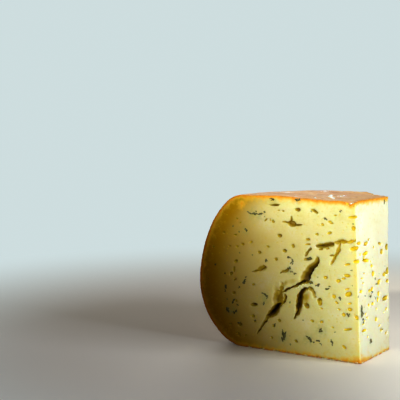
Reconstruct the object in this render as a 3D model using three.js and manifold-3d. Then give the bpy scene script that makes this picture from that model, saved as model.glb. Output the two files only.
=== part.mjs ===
// A piece of a herbed mahon cheese: the rounded square, cushion-shaped cheese is laid out whole and
// then cut to the piece by three straight knife cuts. Its rind stays on the top, on the bulging
// side and underneath. The three cut faces show small eyes, torn cracks and flakes of herb.
// Millimetres, +Z up, resting on its flat foot. The front cut looks along -Y.

import * as THREE from 'three';
import { mergeVertices } from 'three/addons/utils/BufferGeometryUtils.js';
import Module from 'manifold-3d';

// ---- Driving dimensions ---------------------------------------------------------------------

const HEIGHT = 82.2; // foot to top of the whole cheese
const HALF_SIDE = 95.7; // middle of the cheese to the widest part of its side
const SHOULDER = 27; // width of the rounding between a flat and the widest part
const BELT = 34; // height of the widest part of the side
const PROFILE_POWER = 1.84; // 2 is an ellipse; less is a leaner bulge
const PLAN_POWER = 2.5; // 2 is a round cheese; more is a squarer one
const RIND_WAVE = 0.7; // height of the slow waves in the rind
const TOP_WAVE = 0.35; // the same on the flat top
const TOP_FALL = 0.025; // how much lower the top lies for each millimetre further back

const FRONT_CUT = { x: 0, y: 0, turn: 0, lean: 0 };
const RIGHT_CUT = { x: 0, y: 0, turn: 88.1, lean: 2.87 };
const BACK_CUT = { x: 1.2, y: 36.3, turn: 131.5, lean: 0.35 };

const BACK_CUT_LENGTH = 72; // along the foot, from the right cut to the rind
const RIGHT_CUT_LENGTH = 37;

const EYE_DEPTH = 0.85; // depth of an eye, in its own mean width
const EYE_SET_BACK = 0.12; // how far its middle lies behind the cut, in its own depth
const LARGE_EYE = 6; // length and height together, from which an eye is made rounder
const CRACK_STEP = 2.6; // distance between two sections of a crack
const CRACK_LEAST_WIDTH = 0.35;
const CRACK_LEAST_DEPTH = 0.25; // at its ends, in its greatest depth
const CRACK_DEPTH_BY_WIDTH = 0.85; // what its width adds to that
const CHIP_DEPTH = 0.4; // in its own length
const FLAKE_PROUD = 0.3; // how far a herb flake stands out of its cut face
const FLAKE_SUNK = 0.7;
const FLAKE_TAPER = 0.84; // its inner face against its outer one

const PASTE_COLOUR = '#ead98c';

// ---- Random numbers, the same on each run ----------------------------------------------------

function randomFrom(seed) {
  let state = seed;
  return () => {
    state = (state + 0x6d2b79f5) | 0;
    let t = Math.imul(state ^ (state >>> 15), 1 | state);
    t = (t + Math.imul(t ^ (t >>> 7), 61 | t)) ^ t;
    return ((t ^ (t >>> 14)) >>> 0) / 4294967296;
  };
}

const between = (random, low, high) => low + (high - low) * random();

// ---- Between three.js geometry and solids that can be cut and joined -------------------------

const wasm = await Module();
wasm.setup();

function solidOf(geometry) {
  const bare = geometry.clone();
  bare.deleteAttribute('normal');
  bare.deleteAttribute('uv');
  const merged = mergeVertices(bare, 1e-5);
  return new wasm.Manifold(new wasm.Mesh({
    numProp: 3,
    vertProperties: new Float32Array(merged.attributes.position.array),
    triVerts: new Uint32Array(merged.index.array),
  }));
}

function geometryOf(solid) {
  const mesh = solid.getMesh();
  const geometry = new THREE.BufferGeometry();
  geometry.setAttribute('position', new THREE.BufferAttribute(mesh.vertProperties, 3));
  geometry.setIndex(new THREE.BufferAttribute(mesh.triVerts, 1));
  geometry.computeVertexNormals();
  return geometry;
}

// ---- The whole cheese ------------------------------------------------------------------------

const FLAT = HALF_SIDE - SHOULDER; // middle of the cheese to the edge of its flat top and foot

// Half of the outline, from the middle of the foot round the side to the middle of the top.
function outline() {
  const ringStep = FLAT / 6;
  const sideSteps = 20;
  const points = [new THREE.Vector2(0, 0), new THREE.Vector2(FLAT / 2, 0)];
  for (let i = 0; i <= sideSteps; i += 1) {
    const angle = Math.PI * (i / sideSteps - 0.5);
    const out = Math.abs(Math.cos(angle)) ** (2 / PROFILE_POWER);
    const up = Math.sign(angle) * Math.abs(Math.sin(angle)) ** (2 / PROFILE_POWER);
    const reach = up > 0 ? HEIGHT - BELT : BELT;
    points.push(new THREE.Vector2(FLAT + SHOULDER * out, BELT + reach * up));
  }
  for (let radius = FLAT - ringStep; radius > -ringStep / 2; radius -= ringStep) {
    points.push(new THREE.Vector2(Math.max(0, radius), HEIGHT));
  }
  return points;
}

// How much further out a rounded square reaches than a circle, in this direction.
function squareness(angle) {
  const sum = Math.abs(Math.cos(angle)) ** PLAN_POWER + Math.abs(Math.sin(angle)) ** PLAN_POWER;
  return sum ** (-1 / PLAN_POWER);
}

// Slow dents and swells in the side, none where the front cut crosses it.
function rindWave(angle, z) {
  return RIND_WAVE * Math.sin(5 * angle + 0.05 * z) * Math.sin(0.09 * z) * Math.sin(angle);
}

function topWave(x, y) {
  return TOP_WAVE * Math.sin(0.11 * x + 0.4) * Math.sin(0.13 * y + 1.1);
}

function wholeCheese() {
  const turns = 80;
  const geometry = new THREE.LatheGeometry(outline(), turns);
  geometry.rotateX(Math.PI / 2);
  const position = geometry.attributes.position;
  for (let i = 0; i < position.count; i += 1) {
    const x = position.getX(i);
    const y = position.getY(i);
    const z = position.getZ(i);
    const radius = Math.hypot(x, y);
    const angle = Math.atan2(y, x);
    const onSide = THREE.MathUtils.clamp((radius - FLAT) / SHOULDER, 0, 1);
    const onTop = z > HEIGHT - 0.01 ? 1 : 0;
    const above = THREE.MathUtils.clamp((z - BELT) / (HEIGHT - BELT), 0, 1);
    const stretched = radius * squareness(angle) + rindWave(angle, z) * onSide;
    const newX = stretched * Math.cos(angle);
    const newY = stretched * Math.sin(angle);
    position.setXYZ(i, newX, newY, z + onTop * topWave(newX, newY) - above * TOP_FALL * newY);
  }
  return solidOf(geometry);
}

// ---- Knife cuts and the faces they leave -----------------------------------------------------

// A cut takes away all that lies outside its plane, so it is a large block that ends there.
function knifeCut(cut) {
  const reach = 400;
  const block = new THREE.BoxGeometry(reach, reach, reach);
  block.translate(0, -reach / 2, 0);
  block.rotateX(-THREE.MathUtils.degToRad(cut.lean));
  block.rotateZ(THREE.MathUtils.degToRad(cut.turn));
  block.translate(cut.x, cut.y, 0);
  return solidOf(block);
}

// Where a cut face lies: X runs along it at its foot, Y goes into the paste and Z up the face.
function faceOf(cut) {
  const face = new THREE.Matrix4().makeTranslation(cut.x, cut.y, 0);
  face.multiply(new THREE.Matrix4().makeRotationZ(THREE.MathUtils.degToRad(cut.turn)));
  face.multiply(new THREE.Matrix4().makeRotationX(-THREE.MathUtils.degToRad(cut.lean)));
  return face;
}

const frontFace = faceOf(FRONT_CUT);
const rightFace = faceOf(RIGHT_CUT);
const backFace = faceOf(BACK_CUT);

function placeOn(face, geometry, along, up, tilt) {
  geometry.rotateY(-THREE.MathUtils.degToRad(tilt));
  geometry.translate(along, 0, up);
  geometry.applyMatrix4(face);
  return geometry;
}

// ---- Eyes, cracks, chips and herbs -----------------------------------------------------------

// An eye is a small flattened bubble that the knife has opened. Each is turned differently first, so
// that no two facet alike.
function eye(face, along, up, length, height, tilt) {
  const detail = length + height > LARGE_EYE ? 1 : 0;
  const bubble = new THREE.IcosahedronGeometry(1, detail);
  const depth = EYE_DEPTH * Math.sqrt(length * height);
  bubble.rotateY(along);
  bubble.scale(length / 2, depth, height / 2);
  bubble.translate(0, depth * EYE_SET_BACK, 0);
  return solidOf(placeOn(face, bubble, along, up, tilt));
}

// A crack follows its route over the face, gapes by the width given at each point of it, and
// closes to an edge in the paste, off to one side. It is deepest where it is widest.
function crack(face, slant, deepest, route) {
  const path = new THREE.CatmullRomCurve3(route.map(([along, up]) => new THREE.Vector3(along, 0, up)));
  const widths = new THREE.CatmullRomCurve3(route.map(([, , width], i) => new THREE.Vector3(i, width, 0)));
  const steps = Math.max(3, Math.round(path.getLength() / CRACK_STEP));
  const widest = Math.max(...route.map(([, , width]) => width));
  // Across in widths, then into the paste in depths (or out of it in millimetres), then drift.
  const section = [[-0.5, -1.2, 0], [0.5, -1.2, 0], [0.44, 0.5, 0.5], [0.06, 1, 1], [-0.44, 0.45, 0.5]];
  const sides = section.length;
  const vertices = [];
  for (let i = 0; i <= steps; i += 1) {
    const middle = path.getPoint(i / steps);
    const tangent = path.getTangent(i / steps);
    const width = Math.max(CRACK_LEAST_WIDTH, widths.getPoint(i / steps).y);
    const opening = CRACK_LEAST_DEPTH + CRACK_DEPTH_BY_WIDTH * width / widest;
    const depth = deepest * Math.min(1, opening);
    for (const [across, into, drift] of section) {
      const sideways = across * width + drift * slant * depth;
      const inward = into > 0 ? into * depth : into;
      vertices.push(middle.x - tangent.z * sideways, inward, middle.z + tangent.x * sideways);
    }
  }
  const faces = [];
  for (let i = 0; i < steps; i += 1) {
    for (let j = 0; j < sides; j += 1) {
      const a = i * sides + j;
      const b = i * sides + ((j + 1) % sides);
      faces.push(a, a + sides, b, b, a + sides, b + sides);
    }
  }
  const last = steps * sides;
  for (let j = 1; j < sides - 1; j += 1) {
    faces.push(0, j, j + 1);
    faces.push(last, last + j + 1, last + j);
  }
  const geometry = new THREE.BufferGeometry();
  geometry.setAttribute('position', new THREE.Float32BufferAttribute(vertices, 3));
  geometry.setIndex(faces);
  geometry.applyMatrix4(face);
  return solidOf(geometry);
}

// A chip is a bite that the knife or handling took out of an edge of the rind.
function chip(face, along, up, length, height) {
  const bite = new THREE.OctahedronGeometry(1, 1);
  bite.scale(length / 2, length * CHIP_DEPTH, height / 2);
  return solidOf(placeOn(face, bite, along, up, 0));
}

// A herb flake is a thin six-sided scrap, most of it sunk in the paste.
function flake(face, along, up, length, height, tilt) {
  const scrap = new THREE.CylinderGeometry(FLAKE_TAPER / 2, 0.5, FLAKE_PROUD + FLAKE_SUNK, 6);
  scrap.translate(0, (FLAKE_SUNK - FLAKE_PROUD) / 2, 0);
  scrap.rotateY(along);
  scrap.scale(length, 1, height);
  return solidOf(placeOn(face, scrap, along, up, tilt));
}

// ---- What each cut face shows ----------------------------------------------------------------
// Each row: distance along the face, height, length, height of the mark, tilt in degrees. On the
// front face the distance runs to the left of the near corner, so it is negative.

const FRONT_EYES = [
  [-36, 76, 3, 1.8, 0], [-26.5, 75.8, 4, 1.4, -25], [-49.5, 77.6, 5.5, 1, 5], [-5, 74.1, 5, 1.4, 3],
  [-5, 68.5, 2, 2, 0], [-18, 65.2, 2.4, 1.3, 10], [-25, 64, 2, 1.2, 0], [-46.3, 61.7, 2.6, 1.8, 10],
  [-38.5, 57, 1.8, 2, 0], [-43.3, 54, 2.4, 1.8, 0], [-58.3, 52, 2, 1.6, 0], [-68.5, 55.5, 2, 1.4, 0],
  [-4.5, 58.4, 4.5, 2, 12], [-8, 44.3, 3.4, 1.5, 5], [-12.8, 41.3, 2.6, 1.6, 20],
  [-7.2, 35, 3.5, 2.2, 20], [-15, 33, 2, 2, 0], [-6.2, 27.3, 2.4, 1.6, 5], [-23, 29.5, 2.6, 3.6, 0],
  [-30.3, 26.5, 2.6, 3, 40], [-2.5, 23.7, 2, 2, 0], [-9.5, 24.2, 2, 1.8, 0], [-7, 17, 4, 1.2, 10],
  [-9, 7.6, 2.4, 1.4, -35], [-73.7, 41.5, 1.2, 3, 0], [-61.5, 23.5, 4, 1.8, 8], [-70, 12, 2.4, 1.8, 0],
  [-39.3, 68.6, 5, 2.8, 0], [-42.3, 69, 5, 0.9, -6], [-36, 68, 5, 0.9, 8], [-39.6, 70.8, 1.2, 3.4, 0],
  [-29.8, 50.9, 4.4, 1.5, 8], [-30, 58.5, 3, 1, 8], [-30, 61, 2.4, 1.2, 5], [-22.6, 56.6, 2.6, 1.2, 15],
];
const RIGHT_EYES = [
  [2.9, 60.8, 5, 1.4, -4], [11, 59.7, 5, 1.8, 6], [10, 54.8, 6, 1.8, 4], [10.6, 51.2, 7, 1.8, -12],
  [1, 52, 4, 1.8, -8], [29.7, 53.3, 3.6, 2.4, 0], [18.5, 43.2, 3.6, 2.6, 0], [32.3, 41, 4, 2.2, 0],
  [25.3, 38, 4, 2.4, 10], [3.8, 36.3, 3.4, 1.6, -15], [24.5, 32, 3, 2.4, 0], [32.6, 28.2, 6, 2.2, -3],
  [6, 16, 5.5, 1.3, -3], [20.5, 19.2, 3, 2, 0], [36.2, 55, 3.8, 3, 0], [36, 42.2, 3.2, 3.4, 0],
  [36.6, 15.7, 3.2, 2.4, -20],
];
const FRONT_FLAKES = [
  [-62.5, 72.6, 4, 1, 0], [-57, 72.8, 3, 0.8, 8], [-66.5, 63.3, 1.6, 1.8, 0], [-54, 48, 1.8, 1.4, 0],
  [-41, 50.7, 2.4, 1, 5], [-38.7, 48.8, 1.2, 2.4, -10], [-67, 35.5, 3.6, 1.3, 50],
  [-54.5, 29.5, 2.6, 1, -20], [-55.4, 25, 1, 2.2, 10], [-78.5, 32, 1, 2.8, 0], [-77.7, 18.9, 2, 2, 0],
  [-73, 18.2, 3, 1.2, 30], [-43.3, 8.3, 1.8, 4.6, 0], [-22, 14.8, 1.8, 1.8, 0], [-28, 9.2, 3.4, 1, -40],
  [-23.4, 9, 2, 1, 10], [-15.8, 9.5, 1, 2, 15], [-11.6, 32.4, 0.9, 2, 0], [-7, 24.3, 1.8, 2.2, 0],
  [-18.9, 36.4, 2.4, 0.8, 5], [-37, 42.6, 1.6, 0.9, 0],
];
const RIGHT_FLAKES = [
  [3.5, 26, 1.8, 4.6, 5], [4.6, 22.1, 2.2, 0.8, -15], [16.2, 33.7, 2.4, 1, 20], [12.8, 9.2, 2.6, 1.8, -20],
];

// Each crack: its slant into the paste, its greatest depth, then distance along, height and width
// down its route.
const FRONT_CRACKS = [
  [-0.32, 7.5, [[-31.2, 38.6, 2.4], [-31.7, 39.6, 4.8], [-31.7, 41.6, 4.6], [-30.6, 43.6, 4.1],
    [-28.8, 45.9, 3.5], [-26.8, 47.9, 2.9], [-25.1, 49.8, 2.5], [-24.5, 51.4, 2.1],
    [-24.4, 52.5, 1.1]]],
  [0.1, 4.5, [[-44.4, 32, 0.9], [-42.6, 33.2, 1.3], [-40.4, 34.5, 1.5], [-38.2, 35.5, 1.4],
    [-35.6, 36.8, 1.7], [-33.4, 38.2, 2.2], [-31.4, 39.4, 2.4]]],
  [0, 1.7, [[-44.8, 37, 0.8], [-44.9, 35.2, 2], [-45.4, 33, 3.3], [-46.4, 30.4, 4.4],
    [-47.2, 27.6, 5.2], [-47.2, 25.6, 4.8], [-47.6, 24, 3.6]]],
  [-0.1, 6.5, [[-45.6, 25.3, 1.4], [-47.4, 24.1, 3.8], [-49, 22, 4.9], [-50.4, 20.2, 4.8],
    [-51.9, 18.7, 3.2], [-53.4, 17.4, 1.7]]],
  [0.1, 3.8, [[-52.6, 18.6, 1.8], [-54.6, 15.6, 1.6], [-56.7, 12.3, 1.4], [-58.4, 9.5, 1.1],
    [-59.4, 7.6, 0.6]]],
  [0.1, 3, [[-43.2, 31.5, 0.8], [-42.8, 29.5, 2.2], [-43.4, 27.4, 1.9], [-44.8, 25.8, 1.2],
    [-46.6, 24.6, 1.4]]],
  [0.2, 3.6, [[-31.4, 39, 2.2], [-29, 38.7, 1.6], [-26.8, 38.5, 0.8]]],
  [0.4, 5.5, [[-38, 18.2, 0.6], [-36.6, 20, 1.3], [-35.2, 22.6, 1.9], [-35.2, 25.2, 2.7],
    [-35.1, 28, 3], [-34.6, 30.6, 2.9], [-33.4, 32.8, 2.5], [-31.2, 34.6, 2], [-28.9, 35.8, 1.5]]],
  [0.1, 2.4, [[-29, 35.8, 1.5], [-27.2, 34.8, 2], [-26.2, 33, 1.6], [-25.5, 31.2, 0.8]]],
  [0, 4.8, [[-25.6, 57.9, 1], [-24, 58.1, 2.3], [-21.5, 58.4, 2.5], [-19.3, 58.9, 2.1],
    [-17.4, 59.5, 2.3], [-15, 60.2, 1.4]]],
  [0.1, 1.7, [[-15.6, 60.2, 1.4], [-12.6, 60.9, 2.4], [-10.4, 61.4, 1.8], [-7.6, 61.4, 1.3],
    [-3.6, 62.7, 1.3]]],
  [0.1, 1.9, [[-12.2, 60.6, 1.2], [-12.7, 57.4, 1.8], [-14.2, 54.6, 1.8], [-15.8, 51.6, 1.4],
    [-17.1, 48.4, 0.7]]],
  [0.1, 1.5, [[-13.8, 54.2, 1], [-16, 53.9, 1.1], [-17.9, 53.4, 0.8]]],
  [0.1, 3.2, [[-28, 56.8, 0.8], [-29.5, 55.2, 1.6], [-30.8, 53.6, 1.3], [-31.9, 51.9, 1]]],
  [-0.25, 3.2, [[-63.2, 40.9, 0.6], [-60.4, 41.9, 1.4], [-58, 43, 2.2], [-55.8, 44.1, 2.9],
    [-54.1, 44.8, 1.8]]],
  [0.1, 2.6, [[-46, 42.2, 0.6], [-43.6, 43.2, 1.6], [-41.6, 44, 1.9], [-40.4, 44.9, 0.8]]],
];
const BACK_CRACKS = [
  [0.4, 6, [[14, 24, 0.8], [20, 29, 2], [24, 35, 3], [31, 38, 1.6], [37, 45, 2.4], [41, 48, 0.8]]],
  [-0.4, 3.5, [[44, 58, 0.7], [50, 56, 1.8], [55, 57, 0.8]]],
];

const FRONT_CHIPS = [
  [-7.6, HEIGHT, 5, 3.4], [-36, HEIGHT, 6, 1], [-12, 0, 6, 1.2], [-21, 0, 5, 1.6], [-30, 0, 4, 1],
];
const RIGHT_CHIPS = [[14, 0, 5, 1.4], [28, 0, 4, 1.2]];
const BACK_CHIPS = [[26, HEIGHT - 1.4, 7, 1.6], [18, 0, 6, 1.4], [44, 0, 5, 1.2]];

// Whether a place on a face is well clear of the rind, the foot and the top.
function inPaste(face, along, up) {
  const clear = 5;
  const place = new THREE.Vector3(along, 0, up).applyMatrix4(face);
  const reach = place.z > BELT ? HEIGHT - BELT : BELT;
  const level = Math.min(1, Math.abs(place.z - BELT) / reach);
  const side = SHOULDER * (1 - level ** PROFILE_POWER) ** (1 / PROFILE_POWER);
  const edge = (FLAT + side) * squareness(Math.atan2(place.y, place.x));
  return place.z > clear && place.z < HEIGHT - clear && Math.hypot(place.x, place.y) < edge - clear;
}

// Whether a place on a face is clear of the cracks in it.
function offCracks(cracks, along, up) {
  const clear = 4.5;
  const place = new THREE.Vector3(along, up, 0);
  const nearest = new THREE.Vector3();
  return cracks.every(([, , route]) => route.slice(1).every(([nextAlong, nextUp], i) => {
    const start = new THREE.Vector3(route[i][0], route[i][1], 0);
    const stretch = new THREE.Line3(start, new THREE.Vector3(nextAlong, nextUp, 0));
    return stretch.closestPointToPoint(place, true, nearest).distanceTo(place) > clear;
  }));
}

// Whether a place on a face is clear of the marks already there.
function offMarks(marks, along, up) {
  return marks.every(([x, z, length, height]) => {
    const gap = 1.6;
    return Math.hypot(along - x, up - z) > Math.max(length, height) / 2 + gap;
  });
}

// Rows for small marks scattered over a stretch of a face, thinning out towards the top.
function scatter(face, cracks, marks, seed, count, [low, high], top, [small, large]) {
  const thinning = 1.15;
  const random = randomFrom(seed);
  const rows = [];
  while (rows.length < count) {
    const along = between(random, low, high);
    const up = top * random() ** thinning;
    const length = between(random, small, large);
    const height = length * between(random, 0.45, 0.9);
    const tilt = between(random, -30, 30);
    const taken = [...marks, ...rows];
    if (inPaste(face, along, up) && offCracks(cracks, along, up) && offMarks(taken, along, up)) {
      rows.push([along, up, length, height, tilt]);
    }
  }
  return rows;
}

const rightStretch = [3, RIGHT_CUT_LENGTH - 3];
const backStretch = [3, BACK_CUT_LENGTH - 8];
const frontMarks = [...FRONT_EYES, ...FRONT_FLAKES];
const rightMarks = [...RIGHT_EYES, ...RIGHT_FLAKES];
const frontSpecks = scatter(frontFace, FRONT_CRACKS, frontMarks, 11, 22, [-84, -2], 76, [1.4, 2.4]);
const rightSpecks = scatter(rightFace, [], rightMarks, 12, 12, rightStretch, 60, [1.5, 2.8]);
const backEyes = scatter(backFace, BACK_CRACKS, [], 13, 38, backStretch, 72, [1.5, 4]);
const backFlakes = scatter(backFace, BACK_CRACKS, backEyes, 14, 22, backStretch, 76, [1.4, 3]);

const spread = (make, face, rows) => rows.map((row) => make(face, ...row));

const hollows = [
  ...spread(eye, frontFace, [...FRONT_EYES, ...frontSpecks]),
  ...spread(eye, rightFace, [...RIGHT_EYES, ...rightSpecks]),
  ...spread(eye, backFace, backEyes),
  ...spread(crack, frontFace, FRONT_CRACKS),
  ...spread(crack, backFace, BACK_CRACKS),
  ...spread(chip, frontFace, FRONT_CHIPS),
  ...spread(chip, rightFace, RIGHT_CHIPS),
  ...spread(chip, backFace, BACK_CHIPS),
];

const herbs = [
  ...spread(flake, frontFace, FRONT_FLAKES),
  ...spread(flake, rightFace, RIGHT_FLAKES),
  ...spread(flake, backFace, backFlakes),
];

// ---- The piece -------------------------------------------------------------------------------

let piece = wholeCheese();
for (const cut of [FRONT_CUT, RIGHT_CUT, BACK_CUT]) {
  piece = piece.subtract(knifeCut(cut));
}
for (const hollow of hollows) {
  piece = piece.subtract(hollow);
}
for (const herb of herbs) {
  piece = piece.add(herb);
}

const cheese = new THREE.Mesh(
  geometryOf(piece),
  new THREE.MeshStandardMaterial({ color: PASTE_COLOUR, roughness: 0.55, metalness: 0 }),
);
cheese.name = 'cheese';

// The origin is under the middle of the piece, on the surface it rests on.
const box = new THREE.Box3().setFromObject(cheese);
const middle = box.getCenter(new THREE.Vector3());
cheese.position.set(-middle.x, -middle.y, -box.min.z);

const mahonCheese = new THREE.Group();
mahonCheese.add(cheese);

export default mahonCheese;
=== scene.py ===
import math

import bmesh
import bpy
import numpy as np
from bpy.props import FloatProperty, FloatVectorProperty, PointerProperty
from mathutils import Matrix, Vector, noise
from mathutils.bvhtree import BVHTree


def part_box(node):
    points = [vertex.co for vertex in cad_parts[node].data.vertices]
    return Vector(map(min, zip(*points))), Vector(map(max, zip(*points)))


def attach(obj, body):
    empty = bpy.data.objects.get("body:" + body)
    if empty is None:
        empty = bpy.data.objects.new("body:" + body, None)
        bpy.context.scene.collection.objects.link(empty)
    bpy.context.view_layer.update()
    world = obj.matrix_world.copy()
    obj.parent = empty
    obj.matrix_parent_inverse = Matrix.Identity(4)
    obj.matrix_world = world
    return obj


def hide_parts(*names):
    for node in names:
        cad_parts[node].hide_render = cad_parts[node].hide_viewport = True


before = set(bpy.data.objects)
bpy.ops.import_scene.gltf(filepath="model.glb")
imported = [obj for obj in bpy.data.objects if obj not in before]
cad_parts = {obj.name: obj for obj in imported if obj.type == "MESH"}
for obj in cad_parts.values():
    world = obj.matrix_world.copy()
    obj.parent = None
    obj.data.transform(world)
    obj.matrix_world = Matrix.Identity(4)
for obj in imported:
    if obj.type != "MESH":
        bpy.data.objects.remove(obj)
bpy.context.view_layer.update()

bl_info = {
    "name": "Herbed Mahon Cheese",
    "version": (1, 0, 0),
    "blender": (4, 5, 0),
    "location": "3D View > Sidebar > Cheese",
    "description": "Builds the looks of a cut piece of herbed mahon cheese round its solid",
    "category": "Object",
}

MM = 0.001
NODE = "cheese"
BODY = "root"

# ---- Sizes, in millimetres, in the frame of the knife's near corner --------------------------
# X runs to the right along the front cut, Y goes back and Z up. The near corner's foot is at 0.

HEIGHT = 82.2  # foot to top of the whole cheese
HALF_SIDE = 95.7  # middle of the cheese to the widest part of its side
SHOULDER = 27.0  # width of the rounding between a flat and the widest part
BELT = 34.0  # height of the widest part of the side
PROFILE_POWER = 1.84
PLAN_POWER = 2.5
RIND_WAVE = 0.7
TOP_WAVE = 0.35
TOP_FALL = 0.025  # how much lower the top lies for each millimetre further back
FLAT = HALF_SIDE - SHOULDER  # middle of the cheese to the edge of its flat top and foot

EYE_DEPTH = 0.85  # depth of an eye, in its own mean width
EYE_SET_BACK = 0.12  # how far its middle lies behind the cut, in its own depth
MARK_SPREAD = 1.1  # how much wider a mark is made than its row says, since its edge tapers
CRACK_LEAST_WIDTH = 0.35
FLAKE_PROUD = 0.3  # how far a herb flake stands out of its cut face
FLAKE_SUNK = 0.16  # how far the middle of a scrap of herb lies behind the cut

CLEAR_OF_RIND = 5.0  # room round the marks that are strewn at random
CLEAR_OF_CRACKS = 4.5
CLEAR_OF_MARKS = 1.6

BACK_CUT_LENGTH = 72.0
RIGHT_CUT_LENGTH = 37.0

# The near corner in the frame of the row: the solid's box ends at the rind on the left and at the
# proudest herb flake in front.
LOW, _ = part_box(NODE)
CORNER = np.array([LOW.x / MM + HALF_SIDE, LOW.y / MM + FLAKE_PROUD, LOW.z / MM])


# ---- Random numbers, the same on each run ------------------------------------------------------

EYE_SEED, HERB_SEED, MOULD_SEED, CRUMB_SEED, CRACK_SEED = 21, 22, 23, 24, 30


def random_from(seed):
    """Numbers from 0 to 1, in the same order as the solid's own."""
    word, stride = 0xFFFFFFFF, 0x6D2B79F5
    state = seed
    while True:
        state = (state + stride) & word
        t = ((state ^ (state >> 15)) * (1 | state)) & word
        t = ((t + ((t ^ (t >> 7)) * (61 | t) & word)) & word) ^ t
        yield ((t ^ (t >> 14)) & word) / (word + 1)


def between(random, low, high):
    return low + (high - low) * next(random)


# ---- The three knife cuts ----------------------------------------------------------------------

class CutFace:
    """A cut face: X runs along its foot, Y goes into the paste and Z up the face."""

    def __init__(self, name, x, y, turn, lean, low, high):
        place = Matrix.Translation((x, y, 0)) @ Matrix.Rotation(math.radians(turn), 4, "Z")
        self.matrix = place @ Matrix.Rotation(-math.radians(lean), 4, "X")
        self.array = np.array(self.matrix)
        self.inverse = np.array(self.matrix.inverted())
        self.name = name
        self.low = low
        self.high = high

    def at(self, points):
        """Face coordinates (along, into, up) to the frame of the near corner."""
        return np.asarray(points, float) @ self.array[:3, :3].T + self.array[:3, 3]

    def local(self, points):
        return np.asarray(points, float) @ self.inverse[:3, :3].T + self.inverse[:3, 3]

    def turn(self, tilt, spin=0.0):
        """Rotation of a mark that is tilted on the face, and spun round its own length."""
        tilted = Matrix.Rotation(-math.radians(tilt), 4, "Y") @ Matrix.Rotation(spin, 4, "X")
        return (self.matrix @ tilted).to_euler()


FRONT = CutFace("front", x=0, y=0, turn=0, lean=0, low=-112, high=22)
RIGHT = CutFace("right", x=0, y=0, turn=88.1, lean=2.87, low=-14, high=56)
BACK = CutFace("back", x=1.2, y=36.3, turn=131.5, lean=0.35, low=-18, high=94)

# ---- What each cut face shows ------------------------------------------------------------------
# Each row: distance along the face, height, length, height of the mark, tilt in degrees. On the
# front face the distance runs to the left of the near corner, so it is negative.

FRONT_EYES = [
    (-36, 76, 3, 1.8, 0), (-26.5, 75.8, 4, 1.4, -25), (-49.5, 77.6, 5.5, 1, 5), (-5, 74.1, 5, 1.4, 3),
    (-5, 68.5, 2, 2, 0), (-18, 65.2, 2.4, 1.3, 10), (-25, 64, 2, 1.2, 0), (-46.3, 61.7, 2.6, 1.8, 10),
    (-38.5, 57, 1.8, 2, 0), (-43.3, 54, 2.4, 1.8, 0), (-58.3, 52, 2, 1.6, 0), (-68.5, 55.5, 2, 1.4, 0),
    (-4.5, 58.4, 4.5, 2, 12), (-8, 44.3, 3.4, 1.5, 5), (-12.8, 41.3, 2.6, 1.6, 20),
    (-7.2, 35, 3.5, 2.2, 20), (-15, 33, 2, 2, 0), (-6.2, 27.3, 2.4, 1.6, 5), (-23, 29.5, 2.6, 3.6, 0),
    (-30.3, 26.5, 2.6, 3, 40), (-2.5, 23.7, 2, 2, 0), (-9.5, 24.2, 2, 1.8, 0), (-7, 17, 4, 1.2, 10),
    (-9, 7.6, 2.4, 1.4, -35), (-73.7, 41.5, 1.2, 3, 0), (-61.5, 23.5, 4, 1.8, 8), (-70, 12, 2.4, 1.8, 0),
    (-39.3, 68.6, 5, 2.8, 0), (-42.3, 69, 5, 0.9, -6), (-36, 68, 5, 0.9, 8), (-39.6, 70.8, 1.2, 3.4, 0),
    (-29.8, 50.9, 4.4, 1.5, 8), (-30, 58.5, 3, 1, 8), (-30, 61, 2.4, 1.2, 5), (-22.6, 56.6, 2.6, 1.2, 15),
]
RIGHT_EYES = [
    (2.9, 60.8, 5, 1.4, -4), (11, 59.7, 5, 1.8, 6), (10, 54.8, 6, 1.8, 4), (10.6, 51.2, 7, 1.8, -12),
    (1, 52, 4, 1.8, -8), (29.7, 53.3, 3.6, 2.4, 0), (18.5, 43.2, 3.6, 2.6, 0), (32.3, 41, 4, 2.2, 0),
    (25.3, 38, 4, 2.4, 10), (3.8, 36.3, 3.4, 1.6, -15), (24.5, 32, 3, 2.4, 0), (32.6, 28.2, 6, 2.2, -3),
    (6, 16, 5.5, 1.3, -3), (20.5, 19.2, 3, 2, 0), (36.2, 55, 3.8, 3, 0), (36, 42.2, 3.2, 3.4, 0),
    (36.6, 15.7, 3.2, 2.4, -20),
]
FRONT_FLAKES = [
    (-62.5, 72.6, 4, 1, 0), (-57, 72.8, 3, 0.8, 8), (-66.5, 63.3, 1.6, 1.8, 0), (-54, 48, 1.8, 1.4, 0),
    (-41, 50.7, 2.4, 1, 5), (-38.7, 48.8, 1.2, 2.4, -10), (-67, 35.5, 3.6, 1.3, 50),
    (-54.5, 29.5, 2.6, 1, -20), (-55.4, 25, 1, 2.2, 10), (-78.5, 32, 1, 2.8, 0), (-77.7, 18.9, 2, 2, 0),
    (-73, 18.2, 3, 1.2, 30), (-43.3, 8.3, 1.8, 4.6, 0), (-22, 14.8, 1.8, 1.8, 0), (-28, 9.2, 3.4, 1, -40),
    (-23.4, 9, 2, 1, 10), (-15.8, 9.5, 1, 2, 15), (-11.6, 32.4, 0.9, 2, 0), (-7, 24.3, 1.8, 2.2, 0),
    (-18.9, 36.4, 2.4, 0.8, 5), (-37, 42.6, 1.6, 0.9, 0),
]
RIGHT_FLAKES = [
    (3.5, 26, 1.8, 4.6, 5), (4.6, 22.1, 2.2, 0.8, -15), (16.2, 33.7, 2.4, 1, 20), (12.8, 9.2, 2.6, 1.8, -20),
]

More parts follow.
